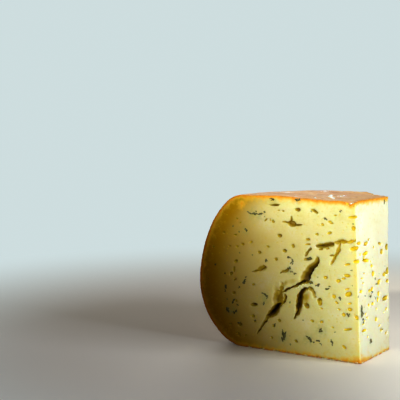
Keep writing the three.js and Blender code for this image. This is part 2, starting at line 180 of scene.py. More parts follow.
# Each crack: its slant into the paste, its greatest depth, then distance along, height and width at
# each point of its route.
FRONT_CRACKS = [
    (-0.5, 6.2, ((-31, 38.4, 2.6), (-31.4, 39.5, 5.6), (-31.3, 41.6, 5.6), (-30.4, 43.6, 5), (-28.8, 45.9, 4.2),
                 (-27, 47.9, 3.6), (-25.3, 49.8, 3), (-24.6, 51.4, 2.5), (-24.4, 52.5, 1.3))),
    (0.1, 3.8, ((-44.4, 32, 0.9), (-42.6, 33.2, 1.3), (-40.4, 34.5, 1.5), (-38.2, 35.5, 1.4),
                (-35.6, 36.8, 1.7), (-33.4, 38.2, 2.2), (-31.4, 39.4, 2.4))),
    (0, 1.7, ((-44.6, 37.8, 1.2), (-44.9, 35.6, 2.8), (-45.6, 33, 4.6), (-46.8, 30.4, 6.2), (-47.4, 27.6, 7),
              (-47.4, 25.6, 6.4), (-47.8, 24, 4.6))),
    (-0.3, 4.2, ((-45.4, 25.3, 1.6), (-47.2, 24.1, 4.2), (-48.8, 22, 5.4), (-50.4, 20.2, 5), (-51.9, 18.7, 3.4),
                 (-53.4, 17.4, 1.9))),
    (0.1, 2.6, ((-52.6, 18.6, 2), (-54.6, 15.6, 1.8), (-56.7, 12.3, 1.6), (-58.4, 9.5, 1.3), (-59.4, 7.6, 0.7))),
    (0.1, 2.4, ((-43.2, 31.5, 0.9), (-42.8, 29.5, 2.4), (-43.4, 27.4, 2.2), (-44.8, 25.8, 1.4),
                (-46.6, 24.6, 1.6))),
    (0.2, 3.2, ((-31.4, 39, 2.2), (-29, 38.7, 1.6), (-26.8, 38.5, 0.8))),
    (0.55, 4, ((-38, 18.2, 0.7), (-36.6, 20, 1.7), (-35, 22.6, 2.8), (-34.6, 25.2, 4), (-34.2, 28, 4.6),
               (-33.8, 30.6, 4.3), (-32.9, 32.8, 3.5), (-31.2, 34.6, 2.6), (-28.9, 35.8, 1.8))),
    (0.1, 1.9, ((-29.4, 35.8, 1.9), (-27.2, 34.9, 2.4), (-26.2, 33, 2), (-25.5, 31.2, 1))),
    (0, 2.7, ((-25.6, 57.9, 1.4), (-24, 58.1, 2.8), (-21.5, 58.4, 3.1), (-19.3, 58.9, 2.6), (-17.4, 59.5, 2.8),
              (-15, 60.2, 1.8))),
    (0.1, 1.9, ((-15.6, 60.2, 1.6), (-12.6, 60.9, 3), (-10.4, 61.4, 2.3), (-7.6, 61.4, 1.6), (-3.6, 62.7, 1.6))),
    (0.1, 2, ((-12.2, 60.6, 1.4), (-12.7, 57.4, 2.3), (-14.2, 54.6, 2.2), (-15.8, 51.6, 1.8), (-17.1, 48.4, 0.9))),
    (0.1, 1.5, ((-13.8, 54.2, 1), (-16, 53.9, 1.3), (-17.9, 53.4, 0.9))),
    (0.1, 2, ((-28, 56.8, 1), (-29.5, 55.2, 2), (-30.8, 53.6, 1.7), (-31.9, 51.9, 1.2))),
    (-0.25, 2.1, ((-63.2, 40.9, 0.7), (-60.4, 41.9, 1.6), (-58, 43, 2.4), (-55.8, 44.1, 3.1), (-54.1, 44.8, 2))),
    (0.1, 1.8, ((-46, 42.2, 0.7), (-43.6, 43.2, 1.8), (-41.6, 44, 2.1), (-40.4, 44.9, 1))),
]
BACK_CRACKS = [
    (0.4, 6, ((14, 24, 0.8), (20, 29, 2), (24, 35, 3), (31, 38, 1.6), (37, 45, 2.4), (41, 48, 0.8))),
    (-0.4, 3.5, ((44, 58, 0.7), (50, 56, 1.8), (55, 57, 0.8))),
]

CRACKS = ((FRONT, FRONT_CRACKS), (BACK, BACK_CRACKS))

# Chips along the foot of a cut, and one in the back cut's top, as an eye's row without its tilt.
FRONT_CHIPS = [
    (-12, 0, 6, 1.2), (-21, 0, 5, 1.6), (-30, 0, 4, 1), (-6, 0, 3, 1.6), (-16.4, 0, 3.4, 2.2), (-23.6, 0, 2.6, 2.6),
    (-26, 0, 1.8, 1.6), (-34.4, 0, 3.8, 1.6), (-41, 0, 2.8, 2), (-48, 0, 4.4, 1.4), (-57, 0, 3, 1.6),
    (-64, 0, 3, 1.2),
]
RIGHT_CHIPS = [
    (14, 0, 5, 1.4), (28, 0, 4, 1.2), (5, 0, 3, 1), (9, 0, 1.8, 1.2), (19, 0, 2.6, 0.9), (23, 0, 2, 1.1),
    (33, 0, 3, 0.9),
]
BACK_CHIPS = [(26, HEIGHT - 1.4, 7, 1.6), (18, 0, 6, 1.4), (44, 0, 5, 1.2)]

# Eyes and flakes that are too small for the solid.
FRONT_FINE_EYES = [
    (-44.5, 74.8, 1.5, 0.9, 0), (-47, 75, 1.2, 0.8, 0), (-54.6, 69.5, 2.2, 1, 40), (-50.4, 69, 1, 2, 5),
    (-20.5, 72.5, 1.6, 0.9, 0), (-15, 74.3, 1.6, 0.8, 10), (-63.5, 57, 2, 1.1, 20), (-72, 69, 1.2, 1.2, 0),
    (-70, 67, 1.2, 0.9, 0), (-87, 52.5, 1.6, 1.2, 0), (-48.3, 49.2, 1.8, 1.5, 0), (-8, 50, 3, 1, 15),
    (-3.2, 52, 1.8, 1.5, 10), (-13.5, 30, 2, 1, -20), (-12, 26.7, 1.6, 1, 0), (-22, 26, 1.6, 0.9, -10),
    (-62, 17.3, 2, 1.6, 0), (-60.8, 14.6, 1.7, 0.8, 0), (-49.3, 13.6, 1.6, 1.6, 0), (-6.3, 30.3, 2, 1.1, 20),
    (-8, 37.5, 2.6, 0.8, 15), (-27, 18.9, 2, 1.3, 0), (-80.3, 61, 1.7, 1.3, 0), (-19, 57.2, 2.2, 1, 12),
    (-10, 42.7, 2.4, 0.9, 20), (-18, 71, 2, 1, 10), (-2, 61.3, 2, 1.2, 5), (-52, 69.6, 0.8, 1.6, 0),
    (-8.2, 80.4, 1.8, 0.9, -35),
]
RIGHT_FINE_EYES = [
    (8, 53, 3, 1.1, 25), (20, 56.7, 2, 1.1, 0), (27.6, 57.8, 4, 1.2, -12), (17, 47.5, 3, 1.5, -12),
    (5, 42.8, 3, 0.9, -8), (16.3, 35.6, 3.4, 2.2, 20), (5.4, 19.8, 2, 1.8, 0), (24.6, 15.2, 2.6, 1.2, -8),
    (33.5, 22.2, 2.8, 1.4, 0), (8.4, 24, 1.8, 1.4, 0), (21, 24.6, 2, 1.1, -10), (35.8, 36.8, 3.4, 1.7, 0),
    (7.5, 45, 2.4, 0.7, -8), (16.5, 28, 2.4, 1.4, 0), (14.5, 61.4, 2.6, 1, 10), (30, 21, 1.4, 0.9, 0),
]
FRONT_FINE_FLAKES = [
    (-65, 72.9, 1.6, 1.2, 20), (-59.6, 72.3, 1.8, 0.8, -10), (-60.5, 73.6, 1.2, 0.7, 0),
    (-55.2, 73.9, 1.4, 1, 30), (-12, 77, 1.2, 1.6, 20), (-20, 72.3, 1.8, 1, 0), (-36, 81, 3.4, 0.9, 3),
    (-51, 80.6, 2.6, 0.8, 0), (-40.6, 45.2, 1.8, 1.2, 30), (-39.2, 43.4, 1.4, 1, 10),
    (-24.2, 37.9, 2.6, 1.2, 8), (-28, 38.6, 2, 0.8, 8), (-29.2, 51.4, 2.4, 0.8, 8), (-53.6, 28.2, 0.9, 1.6, 0),
    (-56.4, 30.2, 1.4, 0.7, 10), (-74, 24, 1.2, 2, 0), (-71.6, 22.3, 1.6, 0.8, 0), (-79, 29.6, 1, 1.4, 0),
    (-70.6, 32.2, 1, 1.4, 0), (-15.2, 8.4, 0.7, 1.8, -20), (-26.6, 8, 2.2, 0.9, 8), (-22, 7.6, 1.6, 0.5, -30),
    (-30.2, 10.4, 1.6, 0.5, -30), (-44, 11.4, 0.8, 2.4, 5), (-70.6, 12.4, 1.6, 1.2, 0), (-60.5, 15, 1.6, 0.7, 0),
    (-17.4, 38, 1, 0.6, 0), (-5.6, 47.4, 1, 0.7, 0), (-85.6, 43, 1.2, 0.9, 0), (-79.4, 39, 0.8, 1.2, 0),
    (-66.4, 38, 1.2, 0.8, 30), (-49, 14, 1, 1.4, 0), (-32.2, 18.6, 0.8, 0.6, 0), (-14, 14.8, 1, 0.5, 10),
]
RIGHT_FINE_FLAKES = [
    (3.2, 28.4, 1.4, 1.8, 10), (13.9, 32.1, 2.4, 0.8, 5), (21.8, 37.4, 2.2, 0.6, 0), (5.4, 20.6, 1.2, 1.2, 0),
    (34.4, 78.6, 0.6, 3, 0), (12.2, 10.2, 1.2, 0.8, 0), (8, 33.6, 1.2, 0.5, -10), (28, 12.4, 1, 0.6, 0),
]


def offset_of(route, along, up):
    """Distance of a place from a crack's route, on the face."""
    place = np.array([along, up], float)
    nodes = np.array([(a, u) for a, u, _ in route], float)
    best = math.inf
    for start, end in zip(nodes[:-1], nodes[1:]):
        stretch = end - start
        part = np.clip(np.dot(place - start, stretch) / np.dot(stretch, stretch), 0, 1)
        best = min(best, float(np.linalg.norm(place - start - part * stretch)))
    return best


def squareness(angle):
    """How much further out a rounded square reaches than a circle, in this direction."""
    total = np.abs(np.cos(angle)) ** PLAN_POWER + np.abs(np.sin(angle)) ** PLAN_POWER
    return total ** (-1 / PLAN_POWER)


def side_at(x, y, z):
    """How far the even cheese reaches from its middle, at this height and in this direction."""
    level = np.clip(np.abs(z - BELT) / np.where(z > BELT, HEIGHT - BELT, BELT), 0, 1)
    rounding = SHOULDER * (1 - level ** PROFILE_POWER) ** (1 / PROFILE_POWER)
    return (FLAT + rounding) * squareness(np.arctan2(y, x))


def in_paste(face, along, up):
    x, y, z = face.at([(along, 0, up)])[0]
    within = math.hypot(x, y) < side_at(x, y, z) - CLEAR_OF_RIND
    return within and CLEAR_OF_RIND < z < HEIGHT - CLEAR_OF_RIND


def off_cracks(cracks, along, up):
    return all(offset_of(route, along, up) > CLEAR_OF_CRACKS for _, _, route in cracks)


def off_marks(marks, along, up):
    return all(math.hypot(along - x, up - z) > max(length, height) / 2 + CLEAR_OF_MARKS
               for x, z, length, height, _ in marks)


def scatter(face, cracks, marks, seed, count, stretch, top, sizes):
    """Rows for small marks over a stretch of a face, by the same rule and draws as in the solid."""
    thinning, flatness, tilts = 1.15, (0.45, 0.9), (-30, 30)
    random = random_from(seed)
    rows = []
    while len(rows) < count:
        along = between(random, *stretch)
        up = top * next(random) ** thinning
        length = between(random, *sizes)
        height = length * between(random, *flatness)
        tilt = between(random, *tilts)
        clear = in_paste(face, along, up) and off_cracks(cracks, along, up)
        if clear and off_marks([*marks, *rows], along, up):
            rows.append((along, up, length, height, tilt))
    return rows


RIGHT_STRETCH = (3, RIGHT_CUT_LENGTH - 3)
BACK_STRETCH = (3, BACK_CUT_LENGTH - 8)
FRONT_SPECKS = scatter(
    FRONT, FRONT_CRACKS, FRONT_EYES + FRONT_FLAKES, seed=11, count=22, stretch=(-84, -2), top=76, sizes=(1.4, 2.4),
)
RIGHT_SPECKS = scatter(
    RIGHT, [], RIGHT_EYES + RIGHT_FLAKES, seed=12, count=12, stretch=RIGHT_STRETCH, top=60, sizes=(1.5, 2.8),
)
BACK_EYES = scatter(BACK, BACK_CRACKS, [], seed=13, count=38, stretch=BACK_STRETCH, top=72, sizes=(1.5, 4))
BACK_FLAKES = scatter(
    BACK, BACK_CRACKS, BACK_EYES, seed=14, count=22, stretch=BACK_STRETCH, top=76, sizes=(1.4, 3),
)

# Shallow dishes in the cuts, where curd pulled away without tearing, as an eye's row with its depth at
# the end. Then the lumps on the bridge between two cracks, and the ribbed pillar of curd below it.
DISHES = {
    "front": [
        (-39.6, 38.2, 10, 3.6, 12, 0.35), (-43.2, 36.6, 4, 2.6, 50, 0.5), (-25.6, 44, 5, 12, -25, 0.22),
        (-46.8, 31, 6.5, 13, 15, 0.5), (-31.2, 30.6, 5, 8.5, -20, 0.8), (-9, 79.2, 6, 2.4, 0, 0.3),
    ],
    "back": [(0, 57, 12, 44, 0, 0.9), (34, 62, 16, 12, 20, 0.5), (52, 24, 12, 18, -15, 0.5)],
}
BRIDGE_LUMPS = [
    (-35.2, 35.6, 1.3, 0.9), (-34.3, 36.4, 1.2, 1), (-33.4, 36.3, 1.4, 0.8), (-32.6, 37.2, 1.2, 0.9),
    (-31.8, 36.9, 1.1, 0.8), (-31, 37.3, 1, 0.7), (-36.3, 34.8, 0.9, 0.7), (-33, 35.4, 0.9, 0.7),
    (-30.6, 36.4, 0.8, 0.5), (-34.6, 34.8, 0.8, 0.6),
]
PILLAR = (-39.2, 28.8, 4.2, 13, 4)
PILLAR_RIB = 1.3  # distance from rib to rib
PILLAR_DEPTH = 0.22

# Stained paste: distance along, height and reach of the tint.
HERB_STAINS = [
    (-21.9, 14.8, 3.2), (-35.5, 81.2, 2.6), (-50, 80.8, 2.4),
    (-62.3, 72.2, 3), (-58, 71.8, 2.4), (-66.7, 63, 2), (-29, 9, 3), (-43.5, 7.6, 2.6), (-7, 24.4, 1.8),
    (-54.8, 27.6, 3), (-40, 43.8, 2.2), (-75, 18.6, 3),
]
RIGHT_STAINS = [(3.6, 26, 2.6), (13.4, 32.6, 2), (12.8, 9.2, 2)]
RIM_STAINS = [(-69, 77.2, 2.8), (-5, 0.2, 2.4), (-1.4, 0.4, 2.2), (-37.8, 81.4, 1.2)]

# ---- The rind ----------------------------------------------------------------------------------

RIM_ON_TOP = 1.4  # how deep the orange of the rind reaches into the paste
RIM_ON_SIDE = 1.8
RIM_ON_FOOT = 1.2
RIM_SEARCH = 14.0  # how far from the rind its orange is looked for
RIM_STAIN = 0.46  # strength of the rim's colour in the stains, against the rim itself
RIPE_AND_SHADE_REACH = 50.0  # how far the side's rind deepens the yellow of the paste: partly its own ripening, partly painted shade
RIPE_AND_SHADE_GAIN, RIPE_AND_SHADE_LOSS = 1.35, 0.15
PALE_TOP = (58.0, 20.0)  # height where the top of the cut starts to stay pale, free of the painted shade where the light falls, and how far on it is all pale
PALE_INSIDE = (12.0, 20.0)  # the same, inwards from the side
RIGHT_HIGHLIGHT_DEPTH = 0.5  # depth over which the right cut is painted paler: a painted highlight, as the light falls strongly on it
CORNER_GLOW_WIDTH = 2.4  # how far from the near corner the front cut is a deeper yellow: a painted glow of light through the corner
CORNER_GLOW_DEPTH = 1.5

# Relief of the rind, then of the cuts: the size of its lumps and their height.
WRINKLES = (6.5, 0.16)
CREASES = (2.6, 0.07)
RIPPLES = (17, 0.14)
KNIFE_MARKS = (5.5, 0.05)
CURD = (1.9, 0.03)
PIT_SIZE = 1.5
PIT_DEPTH = 0.35
PIT_LEVEL = 0.35  # a pit lies where the noise is further below 0 than this

NOISE_SHIFT = (3.7, 1.3, 2.1)  # how far each seed moves the noise

# Dents in the top along its edge: x, y, reach and depth.
DENTS = [
    (-7.2, -0.4, 2.8, 1.6), (-36, -0.6, 3.2, 0.5), (-19, -0.5, 4, 0.3), (-27, 0, 2.4, 0.35), (-1, 0.5, 2.2, 0.5),
]
# Mould: x, y, length, width and turn of a patch, how many tufts it has, and their height against their width.
MOULD_PATCHES = [
    (-28.4, 24, 13, 1.7, 115, 56, 0.9), (-24, 15, 15, 2, 128, 70, 0.9), (-21.6, 23, 8, 1.6, 70, 26, 0.8),
    (-6.4, 0.8, 3, 1.6, 0, 26, 0.5), (-38.8, 4.6, 4.4, 1.5, 150, 14, 0.4),
    (-29.8, 7.6, 3.4, 1.3, 130, 12, 0.4), (-58, 30, 7, 4, 30, 30, 0.25), (-44, 50, 9, 5, 80, 40, 0.25),
]


def noise_at(points, size, seed):
    """Smooth noise from -1 to 1 at each point, with lumps of about this size."""
    shift = Vector([seed * part for part in NOISE_SHIFT])
    return np.array([noise.noise(Vector(point) / size + shift) for point in points])


def relief_at(points, size, height, seed):
    return noise_at(points, size, seed) * height


def rind_waves(x, y, z):
    """How far the slow waves push the rind out, and its top up, just as in the solid."""
    angle = np.arctan2(y, x)
    on_side = np.clip((np.hypot(x, y) - FLAT) / SHOULDER, 0, 1)
    out = RIND_WAVE * np.sin(5 * angle + 0.05 * z) * np.sin(0.09 * z) * np.sin(angle) * on_side
    up = TOP_WAVE * np.sin(0.11 * x + 0.4) * np.sin(0.13 * y + 1.1) * (z > HEIGHT - 0.01)
    return out, up


def grid_faces(index, flip=False):
    """Quads over a grid of point numbers."""
    corners = [index[:-1, :-1], index[:-1, 1:], index[1:, 1:], index[1:, :-1]]
    if flip:
        corners[1], corners[3] = corners[3], corners[1]
    return [tuple(quad) for quad in np.stack(corners, -1).reshape(-1, 4).tolist()]


def whole_cheese():
    """Vertices and faces of the whole cheese, a lathe stretched to a rounded square."""
    turns, side_steps, ring_step = 150, 60, 4.0
    phi = np.pi * (np.arange(side_steps + 1) / side_steps - 0.5)
    radii = FLAT + SHOULDER * np.abs(np.cos(phi)) ** (2 / PROFILE_POWER)
    reach = np.where(phi > 0, HEIGHT - BELT, BELT)
    heights = BELT + reach * np.sign(phi) * np.abs(np.sin(phi)) ** (2 / PROFILE_POWER)
    rings = np.arange(FLAT - ring_step, ring_step / 2, -ring_step)
    radii = np.concatenate([rings[::-1], radii, rings])
    heights = np.concatenate([np.zeros(len(rings)), heights, np.full(len(rings), HEIGHT)])
    angles, radius = np.meshgrid(2 * np.pi * np.arange(turns) / turns, radii, indexing="ij")
    z = np.broadcast_to(heights, radius.shape)
    out, _ = rind_waves(radius * np.cos(angles), radius * np.sin(angles), z)
    stretched = radius * squareness(angles) + out
    x, y = stretched * np.cos(angles), stretched * np.sin(angles)
    _, up = rind_waves(x, y, z)
    up = up - TOP_FALL * y * np.clip((z - BELT) / (HEIGHT - BELT), 0, 1)
    points = np.stack([x, y, z + up], -1).reshape(-1, 3)
    index = np.arange(len(points)).reshape(turns, -1)
    faces = grid_faces(np.vstack([index, index[:1]]), flip=True)
    return points, faces + [tuple(index[::-1, 0].tolist()), tuple(index[:, -1].tolist())]


def put_in_scene(name, data):
    item = bpy.data.objects.new(name, data)
    bpy.context.scene.collection.objects.link(item)
    return item


def new_object(name, points, faces=(), materials=()):
    """An object at the origin, from points in millimetres in the frame of the near corner."""
    mesh = bpy.data.meshes.new(name)
    mesh.from_pydata(((np.asarray(points, float).reshape(-1, 3) + CORNER) * MM).tolist(), [], faces)
    for material in materials:
        mesh.materials.append(material)
    mesh.validate()
    return put_in_scene(name, mesh)


def read(items, key, width, kind=float):
    """The same property of all these points or edges, one row for each."""
    flat = np.empty(len(items) * width, kind)
    items.foreach_get(key, flat)
    return flat.reshape(-1, width)


def places_of(mesh):
    """The mesh's points, in millimetres in the frame of the near corner."""
    return read(mesh.vertices, "co", 3) / MM - CORNER


def set_places(mesh, points):
    mesh.vertices.foreach_set("co", ((points + CORNER) * MM).ravel())
    mesh.update()


def surface_of(mesh, faces):
    """These faces of a mesh, ready for nearest points and rays."""
    return BVHTree.FromPolygons(places_of(mesh).tolist(), [tuple(face.vertices) for face in faces])


def bake_modifiers(item):
    """Turns what the modifiers make into the object's own plain mesh."""
    graph = bpy.context.evaluated_depsgraph_get()
    mesh = bpy.data.meshes.new_from_object(item.evaluated_get(graph))
    old = item.data
    item.modifiers.clear()
    item.data = mesh
    mesh.name = item.name
    if old.users == 0:
        bpy.data.meshes.remove(old)


def remove(item):
    mesh = item.data
    bpy.data.objects.remove(item)
    if mesh.users == 0:
        bpy.data.meshes.remove(mesh)


def combine(item, other, operation):
    """Cuts or joins another closed mesh with this one; the faces that it leaves keep its material."""
    step = item.modifiers.new(operation, "BOOLEAN")
    step.operation = operation
    step.solver = "MANIFOLD"
    step.material_mode = "TRANSFER"
    step.object = other
    bake_modifiers(item)
    remove(other)
    if not item.data.polygons:
        raise RuntimeError(f"{item.name} has no faces left after a boolean step")


def rind_block(material, relief):
    """An even, closed mesh of the cheese round the piece, with the rind's own relief on it."""
    even, dented, upright = 1.0, 6.0, (1, 1, 0.7)
    near, far = (-108, -7, -6), (9, 98, 96)
    item = new_object("cheese_body", *whole_cheese())
    corners = [[(near, far)[bit >> axis & 1][axis] for axis in range(3)] for bit in range(8)]
    sides = [(0, 2, 3, 1), (4, 5, 7, 6), (0, 1, 5, 4), (2, 6, 7, 3), (0, 4, 6, 2), (1, 3, 7, 5)]
    combine(item, new_object("round_the_piece", corners, sides), "INTERSECT")
    step = item.modifiers.new("Even", "REMESH")
    step.mode = "VOXEL"
    step.voxel_size = even * MM
    bake_modifiers(item)
    mesh = item.data
    points, normals = places_of(mesh), read(mesh.vertex_normals, "vector", 3)
    wrinkle = relief_at(points * upright, *WRINKLES, seed=1) + relief_at(points, *CREASES, seed=2)
    pits = np.clip(-noise_at(points, PIT_SIZE, seed=3) - PIT_LEVEL, 0, 1) * PIT_DEPTH
    points = points + normals * (relief * (wrinkle - pits))[:, None]
    for x, y, reach, depth in DENTS:
        near_dent = np.exp(-((points[:, 0] - x) ** 2 + (points[:, 1] - y) ** 2) / reach ** 2)
        points[:, 2] -= depth * near_dent * (points[:, 2] > HEIGHT - dented)
    points[:, 2] = np.maximum(points[:, 2], 0)
    set_places(mesh, points)
    mesh.materials.clear()
    mesh.materials.append(material)
    return item


# ---- The knife ---------------------------------------------------------------------------------

def within_oval(along, up, row):
    """0 at the middle of an oval mark and 1 at its edge, with the place along its length."""
    x, z, length, height, tilt = row[:5]
    turn = math.radians(tilt)
    across = (along - x) * math.cos(turn) + (up - z) * math.sin(turn)
    over = (up - z) * math.cos(turn) - (along - x) * math.sin(turn)
    return np.hypot(across / (length / 2), over / (height / 2)), across


def cut_relief(face, along, up, relief):
    """How far the cut face lies behind its plane: slow ripples, curd, dishes, and the front's pillar."""
    level, fade = (1, 1, 2.2), 1.6
    points = face.at(np.stack([along, np.zeros_like(along), up], -1))
    depth = relief_at(points, *RIPPLES, seed=4) + relief_at(points * level, *KNIFE_MARKS, seed=5)
    depth += relief_at(points, *CURD, seed=6)
    depth *= relief
    for row in DISHES.get(face.name, ()):
        inside, _ = within_oval(along, up, row)
        depth += row[5] * np.clip(1 - inside ** 2, 0, 1)
    if face is FRONT:
        inside, across = within_oval(along, up, PILLAR)
        sway = 0.25 * np.sin(0.5 * up)
        ribs = np.sin(2 * np.pi * (across + sway) / PILLAR_RIB)
        depth += PILLAR_DEPTH * ribs * np.clip(fade * (1 - inside), 0, 1)
    return depth


def knife(face, step, relief, material):
    """A block that takes away all in front of a cut face. Its near side is the face, as a fine grid."""
    low_end, high_end, outside = -8.0, 95.0, -70.0
    along = np.linspace(face.low, face.high, round((face.high - face.low) / step) + 1)
    up = np.linspace(low_end, high_end, round((high_end - low_end) / step) + 1)
    across, over = [grid.ravel() for grid in np.meshgrid(along, up, indexing="ij")]
    into = cut_relief(face, across, over, relief)
    points = face.at(np.stack([across, into, over], -1))
    index = np.arange(len(points)).reshape(len(along), len(up))
    faces = grid_faces(index)
    rim = [*index[:, 0], *index[-1, 1:], *index[-2::-1, -1], *index[0, -2:0:-1]]
    back = face.at(np.stack([across[rim], np.full(len(rim), outside), over[rim]], -1))
    first = len(points)
    for i, vertex in enumerate(rim):
        after = (i + 1) % len(rim)
        faces.append((int(vertex), int(rim[after]), first + after, first + i))
    faces.append(tuple(first + i for i in range(len(rim))))
    item = new_object(f"knife_{face.name}", np.concatenate([points, back]), faces, [material])
    make_solid(item.data)
    return item


def make_solid(mesh):
    """Triangles only, with all faces pointing outwards."""
    shape = bmesh.new()
    shape.from_mesh(mesh)
    bmesh.ops.triangulate(shape, faces=shape.faces)
    bmesh.ops.recalc_face_normals(shape, faces=shape.faces)
    shape.to_mesh(mesh)
    shape.free()


# ---- Cracks ------------------------------------------------------------------------------------

def spline(points, step):
    """Points along a smooth curve through these, a step apart, with the curve's direction."""
    share, fewest = 0.05, 4
    points = np.asarray(points, float)
    ends = np.concatenate([[2 * points[0] - points[1]], points, [2 * points[-1] - points[-2]]])
    fine = []
    for a, b, c, d in zip(ends, ends[1:], ends[2:], ends[3:]):
        for t in np.arange(0, 1, share):
            fine.append(0.5 * (2 * b + (c - a) * t + (2 * a - 5 * b + 4 * c - d) * t ** 2
                               + (3 * b - 3 * c + d - a) * t ** 3))
    fine = np.array([*fine, points[-1]])
    run = np.concatenate([[0], np.cumsum(np.linalg.norm(np.diff(fine[:, :2], axis=0), axis=1))])
    stations = np.linspace(0, run[-1], max(fewest, round(run[-1] / step)) + 1)
    middle = np.stack([np.interp(stations, run, fine[:, k]) for k in range(3)], -1)
    tangent = np.gradient(middle[:, :2], axis=0)
    return middle, tangent / np.linalg.norm(tangent, axis=1)[:, None]


def torn_by(points, size, seed, roughness):
    """Pushes in all three directions at each point, for torn curd of this size."""
    return np.stack([noise_at(points, size, seed + k) for k in range(3)], -1) * roughness


def crack(face, slant, depth, route, roughness, material, seed):
    """A torn crack: it gapes by the width at each point and closes in the paste, off to one side."""
    step, walls, outside, deep, bulge = 0.45, 14, -1.5, 2, 0.85
    shallowest, deepening = 0.25, 0.85
    coarse, fine, fine_share = 1.7, 0.8, 0.6
    taper = 0.7 if depth > deep else 0.35
    middle, tangent = spline(route, step)
    widest = max(width for _, _, width in route)
    share = np.linspace(0, 1, walls + 1)
    into = np.sin(np.pi * share) ** bulge
    across = (share - 0.5) * (1 - taper * into)
    points = []
    for (along, up, width), (run, rise) in zip(middle, tangent):
        width = max(CRACK_LEAST_WIDTH, width)
        here = depth * min(1.0, shallowest + deepening * width / widest)
        sideways = across * width + slant * into * here
        section = np.stack([along - rise * sideways, into * here, up + run * sideways], -1)
        lips = section[[0, -1]].copy()
        lips[:, 1] = outside
        points.append(np.concatenate([lips[:1], section, lips[1:]]))
    flat = np.concatenate(points)
    torn = torn_by(flat, coarse, seed, roughness)
    torn += torn_by(flat, fine, seed + 5, roughness) * fine_share
    torn[:, 1] *= flat[:, 1] > 0.05  # the lips stay on the cut face
    index = np.arange(len(flat)).reshape(len(points), -1)
    faces = grid_faces(np.hstack([index, index[:, :1]]))
    faces += [tuple(index[0].tolist()), tuple(index[-1, ::-1].tolist())]
    item = new_object("crack", face.at(flat + torn), faces, [material])
    make_solid(item.data)
    return item


# ---- Node trees --------------------------------------------------------------------------------

def connect(tree, socket, value):
    """Links another node's output to a socket, or sets the socket's own value."""
    if isinstance(value, bpy.types.NodeSocket):
        tree.links.new(value, socket)
    else:
        socket.default_value = value


def place_node(tree, kind, inputs=None, **settings):
    """A node with its settings, and its inputs set to values or linked to other nodes' outputs."""
    made = tree.nodes.new(kind)
    for key, value in settings.items():
        setattr(made, key, value)
    for key, value in (inputs or {}).items():
        connect(tree, made.inputs[key], value)
    return made


def maths(tree, operation, first, second):
    return place_node(tree, "ShaderNodeMath", {0: first, 1: second}, operation=operation).outputs[0]


def times(tree, first, second):
    return maths(tree, "MULTIPLY", first, second)


def plus(tree, first, second):
    return maths(tree, "ADD", first, second)


def tree_with_inputs(name, kind, inputs, outputs):
    """A node tree with its input and output nodes. An input is its default value, or its kind alone."""
    kinds = {float: "Float", int: "Int", tuple: "Color"}
    tree = bpy.data.node_groups.new(name, kind)
    for label, value in inputs.items():
        bare = isinstance(value, str)
        socket_type = "NodeSocket" + (value if bare else kinds[type(value)])
        socket = tree.interface.new_socket(label, in_out="INPUT", socket_type=socket_type)
        if not bare:
            socket.default_value = value
    for label, value in outputs.items():
        tree.interface.new_socket(label, in_out="OUTPUT", socket_type="NodeSocket" + value)
    return tree, tree.nodes.new("NodeGroupInput").outputs, tree.nodes.new("NodeGroupOutput").inputs


def lump_shapes(tree, given, kinds, sides):
    """A few kinds of uneven lump, as instances to choose from."""
    between_kinds = 5.3  # apart in the noise
    shapes = place_node(tree, "GeometryNodeJoinGeometry")
    normal = place_node(tree, "GeometryNodeInputNormal").outputs["Normal"]
    for kind in range(kinds):
        ball = place_node(tree, "GeometryNodeMeshIcoSphere", {"Radius": 1.0, "Subdivisions": sides})
        bumps = place_node(
            tree, "ShaderNodeTexNoise",
            {"W": plus(tree, given["Seed"], kind * between_kinds), "Scale": given["Lump"], "Detail": 1.5},
            noise_dimensions="4D",
        )
        height = times(tree, maths(tree, "SUBTRACT", bumps.outputs[0], 0.5), given["Unevenness"])
        push = place_node(tree, "ShaderNodeVectorMath", {0: normal, "Scale": height}, operation="SCALE")
        uneven = place_node(
            tree, "GeometryNodeSetPosition", {"Geometry": ball.outputs["Mesh"], "Offset": push.outputs[0]},
        )
        single = place_node(tree, "GeometryNodeGeometryToInstance", {0: uneven.outputs[0]})
        tree.links.new(single.outputs[0], shapes.inputs[0])
    return shapes.outputs[0]


def noted(tree, name, data_type="FLOAT_VECTOR"):
    """An attribute of the points or faces."""
    made = place_node(tree, "GeometryNodeInputNamedAttribute", {"Name": name}, data_type=data_type)
    return made.outputs["Attribute"]


def set_points(tree, given):
    """The mesh's own points, with the turn and the size that they bring."""
    points = place_node(tree, "GeometryNodeMeshToPoints", {"Mesh": given["Geometry"]}).outputs[0]
    turn = place_node(tree, "FunctionNodeEulerToRotation", {0: noted(tree, "turn")}).outputs[0]
    return points, turn, noted(tree, "size")


def strewn_points(tree, given):
    """Points strewn over the faces, turned and sized at random."""
    longer = 1.5
    density = times(tree, noted(tree, "strewn", "FLOAT"), given["Density"])
    strewn = place_node(
        tree, "GeometryNodeDistributePointsOnFaces",
        {"Mesh": given["Geometry"], "Density": density, "Seed": given["Seed"]},
    )
    spin = place_node(
        tree, "FunctionNodeRandomValue",
        {"Min": (0.0, 0.0, -3.14), "Max": (0.0, 0.0, 3.14), "Seed": given["Seed"]}, data_type="FLOAT_VECTOR",
    )
    turned = place_node(
        tree, "FunctionNodeRotateRotation", {"Rotation": strewn.outputs["Rotation"], "Rotate By": spin.outputs[0]},
        rotation_space="LOCAL",
    )
    width = place_node(
        tree, "FunctionNodeRandomValue",
        {2: given["Least Size"], 3: given["Largest Size"], "Seed": given["Seed"]}, data_type="FLOAT",
    ).outputs[1]
    size = place_node(
        tree, "ShaderNodeCombineXYZ",
        {0: width, 1: times(tree, width, longer), 2: times(tree, width, given["Flatness"])},
    )
    return strewn.outputs["Points"], turned.outputs[0], size.outputs[0]


